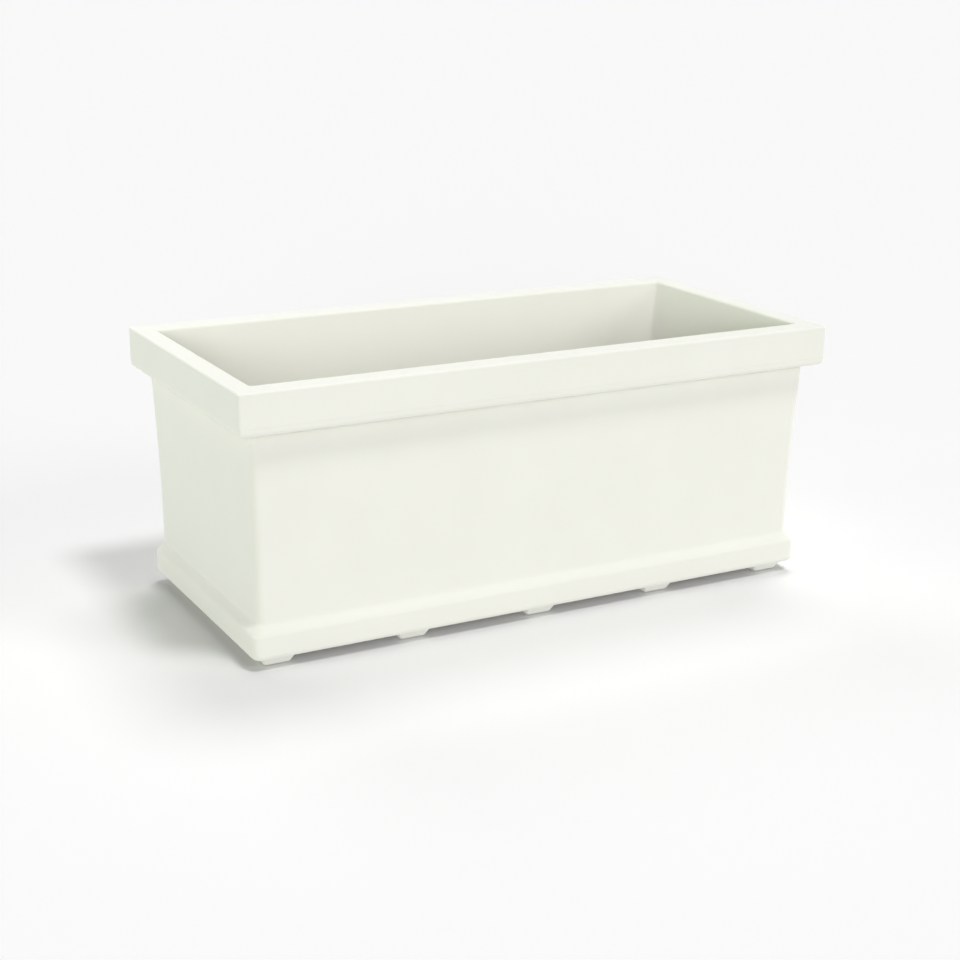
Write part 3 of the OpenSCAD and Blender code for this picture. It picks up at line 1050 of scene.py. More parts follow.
def face_outwards(mesh: bpy.types.Mesh) -> bpy.types.Mesh:
    """Turns a closed shell's faces outwards.

    Args:
        mesh: the shell, which is changed.

    Returns:
        The same mesh.
    """
    work = bmesh.new()
    work.from_mesh(mesh)
    bmesh.ops.remove_doubles(work, verts=work.verts, dist=WELD)
    bmesh.ops.dissolve_degenerate(work, edges=work.edges, dist=1e-7)
    bmesh.ops.recalc_face_normals(work, faces=work.faces)
    work.to_mesh(mesh)
    work.free()
    return mesh


def joined(name: str, meshes: Sequence[bpy.types.Mesh]) -> bpy.types.Mesh:
    """Joins meshes into one, with one slot for each material.

    Args:
        name: the new mesh's name.
        meshes: what is joined.

    Returns:
        The new mesh.
    """
    work = bmesh.new()
    materials: list[bpy.types.Material] = []
    for mesh in meshes:
        start = len(work.faces)
        work.from_mesh(mesh)
        work.faces.ensure_lookup_table()
        own = [m for m in mesh.materials if m is not None]
        for material in own:
            if material not in materials:
                materials.append(material)
        for face in work.faces[start:]:
            face.material_index = materials.index(own[-1]) if own else 0
    result = bpy.data.meshes.new(name)
    work.to_mesh(result)
    work.free()
    for material in materials:
        result.materials.append(material)
    return result


def softened(mesh: bpy.types.Mesh, width: float) -> bpy.types.Mesh:
    """Bevels a mesh's sharp edges.

    Args:
        mesh: the mesh.
        width: the bevel's width in millimetres.

    Returns:
        The bevelled mesh.
    """
    obj = new_object("soft", mesh)
    modifier = obj.modifiers.new("edges", "BEVEL")
    modifier.width = width * MM
    modifier.segments = 2
    modifier.limit_method = "ANGLE"
    modifier.angle_limit = math.radians(40)
    modifier.use_clamp_overlap = True
    result = shaped(obj)
    bpy.data.objects.remove(obj)
    return result


def keep_flats_flat(obj: bpy.types.Object) -> None:
    """Weights the normals by face area, so that large flat faces don't shade towards their edges.

    Args:
        obj: the object, which gets a new mesh.
    """
    modifier = obj.modifiers.new("normals", "WEIGHTED_NORMAL")
    modifier.mode = "FACE_AREA"
    modifier.weight = 50
    modifier.keep_sharp = True
    mesh = shaped(obj)
    obj.modifiers.remove(modifier)
    obj.data = mesh


def spots_object(spots: Sequence[Sequence[float]]) -> bpy.types.Object:
    """An object whose points are spots on the ground.

    Args:
        spots: the spots, as (x, y) in millimetres.

    Returns:
        The object, hidden from renders.
    """
    mesh = bpy.data.meshes.new("spots")
    mesh.from_pydata([(x * MM, y * MM, 0.0) for x, y in spots], [], [])
    obj = new_object("spots", mesh)
    obj.hide_render = True
    return obj


def block(
    low: Sequence[float], high: Sequence[float], material: bpy.types.Material, draft: float = 0.0
) -> bpy.types.Mesh:
    """A rib or bar from its lowest to its highest corner, in millimetres.

    Args:
        low: lowest corner.
        high: highest corner.
        material: its finish.
        draft: how far each side leans in from the foot to the top.

    Returns:
        The mesh.
    """
    work = bmesh.new()
    rings = []
    for z, lean in ((low[2], 0.0), (high[2], draft)):
        corners = (
            (low[0] + lean, low[1] + lean),
            (high[0] - lean, low[1] + lean),
            (high[0] - lean, high[1] - lean),
            (low[0] + lean, high[1] - lean),
        )
        rings.append([work.verts.new((x * MM, y * MM, z * MM)) for x, y in corners])
    work.faces.new(rings[0][::-1])
    work.faces.new(rings[1])
    for i in range(4):
        j = (i + 1) % 4
        work.faces.new((rings[0][i], rings[0][j], rings[1][j], rings[1][i]))
    bmesh.ops.recalc_face_normals(work, faces=work.faces)
    mesh = bpy.data.meshes.new("block")
    work.to_mesh(mesh)
    work.free()
    mesh.materials.append(material)
    return mesh


def cosine_step(first: float, second: float, t: float) -> float:
    """A value that eases from one number to another, level at both ends."""
    return first + (second - first) * (1 - math.cos(math.pi * t)) / 2


# ---- The planter's own pieces ----


@dataclass(frozen=True)
class Finishes:
    """One material for each slot of the record."""

    casing: bpy.types.Material
    tub: bpy.types.Material
    skid: bpy.types.Material
    pan: bpy.types.Material
    platform: bpy.types.Material
    fitting: bpy.types.Material
    plug: bpy.types.Material
    gasket: bpy.types.Material
    seal: bpy.types.Material
    steel: bpy.types.Material

    @classmethod
    def mixed(cls) -> "Finishes":
        """Mixes every finish.

        Returns:
            The planter's finishes.
        """
        ivory = Resin("ivory_resin", (0.872, 0.878, 0.816), (0.845, 0.85, 0.786), 0.55, chalk=1.0)
        return cls(
            casing=replace(ivory, name="casing_resin").material(),
            tub=replace(ivory, name="tub_resin").material(),
            # The skids get a darker copy of the ivory: painted shade for their faces tucked under the
            # plinth's edge.
            skid=replace(ivory, name="skid_resin", colour=(0.84, 0.85, 0.785)).material(),
            pan=Resin("pan_resin", (0.50, 0.50, 0.47), (0.42, 0.42, 0.39), roughness=0.62).material(),
            platform=Resin(
                "platform_resin", (0.70, 0.70, 0.65), (0.63, 0.63, 0.58), roughness=0.55, grain_depth=0.06
            ).material(),
            fitting=Resin("fitting_resin", (0.085, 0.09, 0.09), (0.06, 0.062, 0.062)).material(),
            plug=Rubber("plug_rubber", colour=(0.035, 0.036, 0.036)).material(),
            gasket=Rubber("gasket_rubber").material(),
            seal=Rubber("seal_rubber", roughness=0.5).material(),
            steel=TurnedSteel("turned_steel").material(),
        )


@dataclass(frozen=True)
class Rim:
    """Sizes round the rim that the tub and the casing share, in millimetres."""

    length: float
    depth: float
    top: float
    fascia_h: float = 46.5
    collar_h: float = 11.5
    gap: float = 0.5
    seam: float = 0.05
    wall: float = 3.5
    corner_r: float = 4.0

    @classmethod
    def from_frame(cls) -> "Rim":
        """Reads the overall size from the frame."""
        low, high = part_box("inner_tub")
        return cls((high.x - low.x) / MM, (high.y - low.y) / MM, high.z / MM)

    @property
    def fascia_z(self) -> float:
        """Height of the fascia's lower edge."""
        return self.top - self.fascia_h

    @property
    def collar_z(self) -> float:
        """Height of the collar's underside."""
        return self.fascia_z - self.collar_h


@dataclass
class Casing:
    """The outer wall with its collar, its plinth and the flange under the plinth."""

    rim: Rim
    ground_gap: float
    wall_inset_top: float = 20.5
    wall_inset_foot: float = 27.4
    wall_corner_r: float = 12.0
    plinth_inset: float = 18.0
    plinth_round: float = 8.0
    plinth_corner_r: float = 11.0
    plinth_top: float = 65.0
    ogee_h: float = 18.0
    flange_inset: float = 55.0
    flange_corner_r: float = 1.0
    soft_r: float = 0.5
    collar_setback: float = 0.2
    collar_lean: float = 0.8
    collar_round: float = 6.5
    cove: float = 5.0
    upstand: float = 9.5
    wall_points: int = 14
    ogee_points: int = 10

    def section(self) -> Section:
        """The casing's section: up the outside, over the upstand and down the inside."""
        return Section([*self._outside(), *self._top(), *self._inside()], closed=True)

    def wall_inset(self, z: float) -> float:
        """Inset of the wall at a height: it hollows, and stands upright at the plinth."""
        share = math.sin(math.pi / 2 * (self.cove_z - z) / (self.cove_z - self.plinth_top))
        return self.wall_inset_top + (self.wall_inset_foot - self.wall_inset_top) * share

    @property
    def cove_z(self) -> float:
        """Height where the wall ends and the cove under the collar begins."""
        return self.rim.collar_z - self.cove

    def _ogee(self) -> list[tuple[float, float, float]]:
        """The plinth's moulded curve.

        Returns:
            Share of the way, inset and height of each point, upwards.
        """
        band_top = self.plinth_top - self.ogee_h
        shares = [k / self.ogee_points for k in range(self.ogee_points + 1)]
        ease = self.plinth_inset, self.wall_inset_foot
        return [(t, cosine_step(*ease, t), band_top + self.ogee_h * t) for t in shares]

    def _wall(self) -> list[tuple[float, float]]:
        """The hollow wall above the plinth, upwards: inset and height of each point."""
        rise = self.cove_z - self.plinth_top
        heights = [self.plinth_top + rise * k / self.wall_points for k in range(1, self.wall_points)]
        return [(self.wall_inset(z), z) for z in heights]

    def _outside(self) -> list[Corner]:
        """The outside of the section.

        Returns:
            Corners from the flange's inner edge up to the collar.
        """
        base, collar_z = self.ground_gap, self.rim.collar_z
        r, wall_r = self.plinth_corner_r, self.wall_corner_r
        foot = self.collar_setback + self.collar_lean
        return [
            even(self.flange_inset, self.flange_corner_r, base, self.soft_r),
            even(self.plinth_inset, r, base, self.plinth_round),
            *[even(inset, r + (wall_r - r) * t, z) for t, inset, z in self._ogee()],
            *[even(inset, wall_r, z) for inset, z in self._wall()],
            even(self.wall_inset_top, wall_r, collar_z, self.cove),
            even(foot, self.rim.corner_r, collar_z, self.collar_round),
        ]

    def _top(self) -> list[Corner]:
        """The collar's top and the upstand inside the fascia.

        Returns:
            Their corners.
        """
        rim = self.rim
        r, ledge = rim.corner_r, rim.fascia_z - rim.seam
        inner = rim.wall + rim.gap
        return [
            even(self.collar_setback, r, ledge, 0.1),
            even(inner, r, ledge),
            even(inner, r, rim.fascia_z + self.upstand, self.soft_r),
            even(inner + rim.wall, r, rim.fascia_z + self.upstand, self.soft_r),
            even(inner + rim.wall, r, rim.collar_z + rim.wall),
        ]

    def _inside(self) -> list[Corner]:
        """The hidden inside of the section, a wall's thickness in from the outside.

        Returns:
            Corners from under the collar down to the flange's inner edge.
        """
        wall, base = self.rim.wall, self.ground_gap
        r, wall_r = self.plinth_corner_r - wall, self.wall_corner_r - wall
        return [
            even(self.wall_inset_top + wall, wall_r, self.rim.collar_z + wall, self.cove),
            *[even(inset + wall, wall_r, z) for inset, z in reversed(self._wall())],
            *[even(inset + wall, r, z) for _, inset, z in reversed(self._ogee())],
            even(self.plinth_inset + wall, r, base + wall, self.plinth_round - wall),
            even(self.flange_inset, self.flange_corner_r, base + wall, self.soft_r),
        ]

    def build(self, shop: Workshop, finishes: Finishes, screws: "Screws") -> None:
        """Makes the casing and stands it in the frame.

        Args:
            shop: the workshop.
            finishes: the planter's finishes.
            screws: the screws that pass the flange.
        """
        mesh = shop.shell(self.section(), self.rim.length, self.rim.depth, finishes.casing)
        base = self.ground_gap
        drilled = shop.drill(
            mesh,
            screws.pan_spots(),
            finishes.casing,
            bore=(screws.hole_r, base - PAST, base + self.rim.wall + PAST),
            seat=(screws.seat_r, base - PAST, base + screws.pan_seat),
        )
        shop.piece("casing_shell", [drilled], Body.PLANTER.value, "casing_resin", ["outer_casing"])


@dataclass
class Tub:
    """The planting tub, in one moulding with the rim's deck and its flat face."""

    rim: Rim
    base_z: float
    deck_end: float = 30.0
    deck_side: float = 37.5
    lip: float = 4.0
    under_r: float = 0.5
    edge_r: float = 3.0
    corner_r: float = 4.0
    floor_r: float = 12.0
    floor_t: float = 5.0
    end_draft: float = 5.0
    side_draft: float = 4.0

    @property
    def floor_z(self) -> float:
        """Height of the floor inside."""
        return self.base_z + self.floor_t

    def inner(self, z: float, extra: float, upright_r: float, fillet: float = 0.0) -> Corner:
        """A corner on the planting space's wall.

        Args:
            z: its height.
            extra: how far it is moved outwards.
            upright_r: radius of the upright edge there.
            fillet: radius that rounds the corner.

        Returns:
            The corner.
        """
        drop = self.rim.top - self.lip - z
        x = self.deck_end + drop * math.tan(math.radians(self.end_draft)) - extra
        y = self.deck_side + drop * math.tan(math.radians(self.side_draft)) - extra
        return Corner(x, y, upright_r, z, fillet)

    def on_deck(self, share: float, fillet: float = 0.0) -> Corner:
        """A corner on the deck: at the fascia for a share of 0, over the planting wall for 1."""
        back = 1 - share
        upright_r = self.corner_r + back * self.deck_end
        return Corner(self.deck_end * share, self.deck_side * share, upright_r, self.rim.top, fillet)

    def section(self) -> Section:
        """The tub's section.

        Returns:
            The section, from under the floor up the outside, over the rim and down inside.
        """
        rim, wall = self.rim, self.rim.wall
        floor_z, under_z = self.floor_z, rim.top - wall
        middle = Corner(rim.length / 2, rim.depth / 2, 0.0, self.base_z)
        outer_r = self.corner_r + wall
        corners = [
            middle,
            self.inner(self.base_z, wall, outer_r, 4.0),
            Corner(self.deck_end - wall, self.deck_side - wall, outer_r, under_z, self.under_r),
            even(wall, rim.corner_r, under_z, 1.0),
            even(wall, rim.corner_r, rim.fascia_z, 0.4),
            even(0.0, rim.corner_r, rim.fascia_z, 0.15),
            even(0.0, rim.corner_r, rim.top, self.edge_r),
            self.on_deck(0.5),
            self.on_deck(1.0, self.lip),
            self.inner(floor_z, 0.0, self.corner_r + self.floor_r / 2, self.floor_r),
            replace(middle, z=floor_z),
        ]
        return Section(corners, closed=False)

    def build(self, shop: Workshop, finishes: Finishes, drains: "Drains") -> None:
        """Makes the tub and stands it in the frame.

        Args:
            shop: the workshop.
            finishes: the planter's finishes.
            drains: the fittings that pass the floor.
        """
        mesh = shop.shell(self.section(), self.rim.length, self.rim.depth, finishes.tub)
        bore = (drains.hole_r, self.base_z - PAST, self.floor_z + PAST)
        drilled = shop.drill(mesh, drains.spots(), finishes.tub, bore)
        shop.piece("tub_moulding", [drilled], Body.PLANTER.value, "tub_resin", ["inner_tub"])


@dataclass
class Screws:
    """The screws under the planter: in the skids, and in the flange between them."""

    skid_xs: Sequence[float]
    line_y: float
    tip_z: float
    shank_r: float = 2.2
    head_r: float = 4.4
    head_h: float = 3.0
    hole_r: float = 2.25
    seat_r: float = 4.9
    skid_sink: float = 1.0
    pan_seat: float = 1.17
    point_h: float = 2.5
    cross_reach: float = 0.56
    cross_half_w: float = 0.55
    cross_deep: float = 1.5
    cross_draft: float = 0.12

    LINE_INSET = 47.0    # from the planter's outline to each line of screws

    @property
    def bays(self) -> list[float]:
        """The middles of the bays between the skids."""
        return [(a + b) / 2 for a, b in zip(self.skid_xs, self.skid_xs[1:])]

    def pan_spots(self) -> list[tuple[float, float]]:
        """Axes of the screws through the flange."""
        return [(x, side.value * self.line_y) for x in self.bays for side in Side]

    def skid_spots(self, index: "int | None" = None) -> list[tuple[float, float]]:
        """Axes of the screws in the skids.

        Args:
            index: one skid's number from 0, or None for all of them.

        Returns:
            The axes as (x, y): two for an end skid and three for the others.
        """
        chosen = range(len(self.skid_xs)) if index is None else [index]
        spots = []
        for k in chosen:
            spots += [(self.skid_xs[k], side.value * self.line_y) for side in Side]
            if 0 < k < len(self.skid_xs) - 1:
                spots.append((self.skid_xs[k], 0.0))
        return spots

    def unit(self, shop: Workshop, material: bpy.types.Material, head_top: float) -> bpy.types.Mesh:
        """One screw with its head down and a cross recess in the head.

        Args:
            shop: the workshop.
            material: its finish.
            head_top: height of the head's bearing face.

        Returns:
            The screw at the origin.
        """
        low = head_top - self.head_h
        corners = [
            turned(self.head_r, 0.0, low),
            turned(self.head_r, self.head_r, low, 1.6),
            turned(self.head_r, self.head_r, head_top, 0.3),
            turned(self.head_r, self.shank_r, head_top, 0.2),
            turned(self.head_r, self.shank_r, self.tip_z - self.point_h, 0.4),
            turned(self.head_r, 0.0, self.tip_z),
        ]
        body = shop.turned(Section(corners, closed=False), self.head_r, material, (0, 0, 0))
        return carved(body, self._cross(low, material))

    def _cross(self, low: float, material: bpy.types.Material) -> list[bpy.types.Mesh]:
        """The two bars of the cross recess in a head.

        Args:
            low: height of the head's outer face.
            material: its finish.

        Returns:
            The bars' meshes.
        """
        arm, half = self.head_r * self.cross_reach, self.cross_half_w
        z0, z1 = low - PAST, low + self.cross_deep
        sizes = ((arm, half), (half, arm))
        return [block((-x, -y, z0), (x, y, z1), material, self.cross_draft) for x, y in sizes]

    def build(self, shop: Workshop, finishes: Finishes, ground_gap: float) -> None:
        """Makes both groups of screws.

        Args:
            shop: the workshop.
            finishes: the planter's finishes.
            ground_gap: height of the flange's underside.
        """
        groups = (
            ("skid_screw_set", self.skid_spots(), self.skid_sink + self.head_h, "skid_screws"),
            ("pan_screw_set", self.pan_spots(), ground_gap + self.pan_seat, "pan_screws"),
        )
        for name, spots, head_top, node in groups:
            unit = self.unit(shop, finishes.steel, head_top)
            mesh = shop.repeat(unit, spots, finishes.steel)
            shop.piece(name, [mesh], Body.PLANTER.value, "screw_steel", [node])


@dataclass
class Skids:
    """The five skids from front to back, each narrow on the ground with a raised tongue."""

    rim: Rim
    screws: Screws
    height: float
    foot_w: float = 34.5
    lean: float = 8.2
    end_inset: float = 38.0
    edge_r: float = 4.5
    upright_r: float = 3.0
    tongue_inset: float = 56.0
    tongue_sunk: float = 1.0
    foot_steps: int = 8
    tongue_steps: int = 4
    hold: float = 0.5

    @property
    def tongue_z(self) -> float:
        """Height of the tongue's top."""
        return self.height + self.rim.wall

    def build(self, shop: Workshop, finishes: Finishes) -> None:
        """Makes each skid and stands it in the frame.

        Args:
            shop: the workshop.
            finishes: the planter's finishes.
        """
        screws, skin = self.screws, finishes.skid
        bore = (screws.hole_r, -PAST, self.tongue_z + PAST)
        seat = (screws.seat_r, -PAST, screws.skid_sink + screws.head_h)
        for index, x in enumerate(screws.skid_xs):
            meshes = [self._foot(shop, skin, x), self._tongue(shop, skin, x)]
            drilled = [shop.drill(mesh, screws.skid_spots(index), skin, bore, seat) for mesh in meshes]
            node = f"foot_skid_{index + 1}"
            shop.piece(f"skid_moulding_{index + 1}", drilled, Body.PLANTER.value, "skid_resin", [node])

    def _foot(self, shop: Workshop, material: bpy.types.Material, x: float) -> bpy.types.Mesh:
        """The part of a skid that shows under the plinth.

        Args:
            shop: the workshop.
            material: its finish.
            x: place of its middle.

        Returns:
            Its mesh.
        """
        width = self.foot_w + 2 * self.lean
        length = self.rim.depth - 2 * (self.end_inset - self.lean)
        pole = Corner(width / 2, length / 2, 0.0, 0.0)
        corners = [
            pole,
            even(self.lean, self.upright_r, 0.0, self.edge_r),
            even(0.0, self.upright_r, self.height, 0.4),
            replace(pole, z=self.height),
        ]
        section = Section(corners, closed=False)
        return shop.shell(section, width, length, material, (x, 0, 0), self.foot_steps, self.hold)

    def _tongue(self, shop: Workshop, material: bpy.types.Material, x: float) -> bpy.types.Mesh:
        """The raised middle that meets the pan inside the flange.

        Args:
            shop: the workshop.
            material: its finish.
            x: place of the skid's middle.

        Returns:
            Its mesh.
        """
        limit = self.rim.length / 2 - self.tongue_inset
        x0, x1 = max(x - self.foot_w / 2, -limit), min(x + self.foot_w / 2, limit)
        width, length = x1 - x0, self.rim.depth - 2 * self.tongue_inset
        pole = Corner(width / 2, length / 2, 0.0, self.height - self.tongue_sunk)
        corners = [
            pole,
            even(0.0, 1.0, pole.z, 0.2),
            even(0.0, 1.0, self.tongue_z, 0.4),
            replace(pole, z=self.tongue_z),
        ]
        section, centre = Section(corners, closed=False), ((x0 + x1) / 2, 0, 0)
        return shop.shell(section, width, length, material, centre, self.tongue_steps, self.hold)


@dataclass
class Drains:
    """The drain fittings at both ends: spigot, gasket, lock nut, plug and seal ring."""

    x: float
    floor_z: float
    pan_z: float
    bore_r: float = 11.0
    tube_t: float = 4.0
    flange_r: float = 26.0
    flange_t: float = 4.0
    groove_inset: float = 3.0
    groove_w: float = 2.0
    groove_side: float = 0.6
    groove_deep: float = 0.5
    gasket_t: float = 2.0
    nut_flat_r: float = 21.0
    nut_h: float = 7.0
    nut_chamfer: float = 1.1
    nut_lead: float = 0.6
    nut_facets: int = 96
    running_gap: float = 0.1
    tail: float = 2.0
    head_r: float = 17.0
    head_t: float = 5.0
    stem: float = 6.0
    grip_h: float = 12.0
    grip_share: float = 1.4
    grip_ribs: int = 3
    grip_rib_w: float = 0.9
    grip_rib_from: float = 3.2
    grip_rib_pitch: float = 2.6
    grip_rib_share: float = 0.36
    seal_r: float = 1.5
    seal_facets: int = 14
    hole_r: float = 15.3

    @property
    def tube_r(self) -> float:
        """Outer radius of the spigot's tube."""
        return self.bore_r + self.tube_t

    @property
    def stem_r(self) -> float:
        """Radius of the plug's stem and of its seal ring."""
        return self.bore_r - self.running_gap

    @property
    def top(self) -> float:
        """Height of the spigot's flange."""
        return self.floor_z + self.gasket_t + self.flange_t

    @property
    def nut_z(self) -> float:
        """Height of the lock nut's lower face."""
        return self.pan_z - self.nut_h

    def spots(self) -> list[tuple[float, float]]:
        """Axes of both drains."""
        return [(side.value * self.x, 0.0) for side in Side]

    def build(self, shop: Workshop, finishes: Finishes) -> None:
        """Makes the fittings at both ends.

        Args:
            shop: the workshop.
            finishes: the planter's finishes.
        """
        for side in Side:
            at = (side.value * self.x, 0.0, 0.0)
            fixed = (
                ("spigot_fitting", self._spigot, finishes.fitting, "fitting_resin", "drain_spigot"),
                ("gasket_washer", self._gasket, finishes.gasket, "gasket_rubber", "spigot_gasket"),
                ("lock_nut", self._nut, finishes.fitting, "fitting_resin", "spigot_nut"),
            )
            for name, make, material, slot, node in fixed:
                mesh = make(shop, material, at)
                nodes = [f"{node}_{side.word}"]
                shop.piece(f"{name}_{side.word}", [mesh], Body.PLANTER.value, slot, nodes)
            body = Body.PLUG.at(side)
            plug = self._plug(shop, finishes.plug, at)
            shop.piece(f"plug_stopper_{side.word}", plug, body, "plug_resin", [f"drain_plug_{side.word}"])
            seal = self._seal(shop, finishes.seal, at)
            shop.piece(f"seal_ring_{side.word}", [seal], body, "seal_rubber", [f"plug_seal_{side.word}"])

    def _spigot(self, shop: Workshop, material: bpy.types.Material, at: Sequence[float]) -> bpy.types.Mesh:
        """The flanged tube, with a shallow groove round its flange.

        Args:
            shop: the workshop.
            material: its finish.
            at: the drain's axis.

        Returns:
            Its mesh.
        """
        r, low = self.flange_r, self.nut_z - self.tail
        rim = r - self.groove_inset
        inner, groove_z = rim - self.groove_w, self.top - self.groove_deep
        corners = [
            turned(r, self.bore_r, low, 0.4),
            turned(r, self.tube_r, low, 0.8),
            turned(r, self.tube_r, self.top - self.flange_t, 0.3),
            turned(r, self.flange_r, self.top - self.flange_t, 0.3),
            turned(r, self.flange_r, self.top, 1.2),
            turned(r, rim, self.top, 0.2),
            turned(r, rim - self.groove_side, groove_z, 0.2),
            turned(r, inner + self.groove_side, groove_z, 0.2),
            turned(r, inner, self.top, 0.2),
            turned(r, self.bore_r, self.top, 0.7),
        ]
        return shop.turned(Section(corners, closed=True), r, material, at)

    def _gasket(self, shop: Workshop, material: bpy.types.Material, at: Sequence[float]) -> bpy.types.Mesh:
        """The flat ring under the flange, with rounded edges.

        Args:
            shop: the workshop.
            material: its finish.
            at: the drain's axis.

        Returns:
            Its mesh.
        """
        r, inner = self.flange_r - 1, self.hole_r
        low, high = self.floor_z, self.floor_z + self.gasket_t
        corners = [
            turned(r, inner, low, 0.2),
            turned(r, r, low, 0.8),
            turned(r, r, high, 0.8),
            turned(r, inner, high, 0.2),
        ]
        return shop.turned(Section(corners, closed=True), r, material, at)

    def _nut(self, shop: Workshop, material: bpy.types.Material, at: Sequence[float]) -> bpy.types.Mesh:
        """The six-sided lock nut, with its corners chamfered and a washer face on top.

        Args:
            shop: the workshop; not used.
            material: its finish.
            at: the drain's axis.

        Returns:
            Its mesh.
        """
        work = bmesh.new()
        low, high, flat_r = self.nut_z, self.pan_z, self.nut_flat_r
        inner = self.tube_r + self.running_gap
        rows = (
            (inner + self.nut_lead, low, False),
            (flat_r, low, False),
            (flat_r, low + self.nut_chamfer, True),
            (flat_r, high - self.nut_chamfer, True),
            (flat_r, high, False),
            (inner, high, False),
            (inner, low + self.nut_lead, False),
        )
        count = self.nut_facets
        turns = [k / count for k in range(count)]
        rings = [[work.verts.new(self._nut_point(row, turn, at)) for turn in turns] for row in rows]
        for i, ring in enumerate(rings):
            other = rings[(i + 1) % len(rings)]
            for k in range(count):
                j = (k + 1) % count
                work.faces.new((ring[k], ring[j], other[j], other[k]))
        bmesh.ops.recalc_face_normals(work, faces=work.faces)
        mesh = bpy.data.meshes.new("nut")
        work.to_mesh(mesh)
        work.free()
        mesh.materials.append(material)
        return mesh

    def _nut_point(
        self, row: tuple[float, float, bool], turn: float, at: Sequence[float]
    ) -> tuple[float, float, float]:
        """A point of the nut.

        Args:
            row: radius, height, and True where the row is six-sided and not round.
            turn: share of the way round.
            at: the drain's axis.

        Returns:
            The point in metres.
        """
        radius, z, hexagon = row
        angle = 2 * math.pi * turn
        if hexagon:
            within = (angle + math.pi / 6) % (math.pi / 3) - math.pi / 6
            radius = radius / math.cos(math.pi / 6 - abs(within))
        return (
            (at[0] + radius * math.cos(angle)) * MM,
            (at[1] + radius * math.sin(angle)) * MM,
            z * MM,
        )

    def _plug(
        self, shop: Workshop, material: bpy.types.Material, at: Sequence[float]
    ) -> list[bpy.types.Mesh]:
        """The stopper: a grooved stem, a head and a finger grip with ribs on both faces.

        Args:
            shop: the workshop.
            material: its finish.
            at: the drain's axis.

        Returns:
            Its meshes.
        """
        r, stem_r, low = self.head_r, self.stem_r, self.top - self.stem
        groove_z, groove_r = self.top - self.stem / 2, self.stem_r - 2 * self.seal_r
        corners = [
            turned(r, 0.0, low),
            turned(r, stem_r - 0.4, low, 0.3),
            turned(r, stem_r, low + 0.9, 0.2),
            turned(r, stem_r, groove_z - self.seal_r, 0.15),
            turned(r, groove_r, groove_z - self.seal_r),
            turned(r, groove_r, groove_z + self.seal_r),
            turned(r, stem_r, groove_z + self.seal_r, 0.15),
            turned(r, stem_r, self.top),
            turned(r, self.head_r, self.top, 0.6),
            turned(r, self.head_r, self.top + self.head_t, 1.8),
            turned(r, 0.0, self.top + self.head_t),
        ]
        head = shop.turned(Section(corners, closed=False), r, material, at)
        return [head, *self._grip(shop, material, at)]

    def _grip(
        self, shop: Workshop, material: bpy.types.Material, at: Sequence[float]
    ) -> list[bpy.types.Mesh]:
        """The finger grip: a rounded bar on edge, with ribs along each face.

        Args:
            shop: the workshop.
            material: its finish.
            at: the drain's axis.

        Returns:
            The bar and its ribs.
        """
        length, width = self.head_r * self.grip_share, self.head_t
        base, top = self.top + self.head_t - 1, self.top + self.head_t + self.grip_h
        pole = Corner(length / 2, width / 2, 0.0, base)
        corners = [
            pole,
            even(0.0, width / 2 - 0.05, base),
            even(0.0, width / 2 - 0.05, top - 4.0, 1.0),
            Corner(2.4, 0.5, width / 2 - 0.6, top - 1.2, 1.2),
            Corner(length / 4, 1.2, 0.6, top, 1.2),
            replace(pole, z=top),
        ]
        bar = shop.shell(Section(corners, closed=False), length, width, material, at, 8, 0.2)
        reach, half = length * self.grip_rib_share, self.grip_rib_w / 2
        ribs = []
        for side in Side:
            for k in range(self.grip_ribs):
                z = base + self.grip_rib_from + self.grip_rib_pitch * k
                y = at[1] + side.value * width / 2
                low = (at[0] - reach, y - half, z)
                high = (at[0] + reach, y + half, z + self.grip_rib_w)
                ribs.append(block(low, high, material, draft=0.15))
        return [bar, *ribs]

    def _seal(self, shop: Workshop, material: bpy.types.Material, at: Sequence[float]) -> bpy.types.Mesh:
        """The round seal ring in the stem's groove.

        Args:
            shop: the workshop.
            material: its finish.
            at: the drain's axis.

        Returns:
            Its mesh.
        """
        outer, middle_z = self.stem_r, self.top - self.stem / 2
        corners = []
        for k in range(self.seal_facets):
            angle = 2 * math.pi * k / self.seal_facets
            r = outer - self.seal_r + self.seal_r * math.cos(angle)
            corners.append(turned(outer, r, middle_z + self.seal_r * math.sin(angle)))
        return shop.turned(Section(corners, closed=True), outer, material, at)


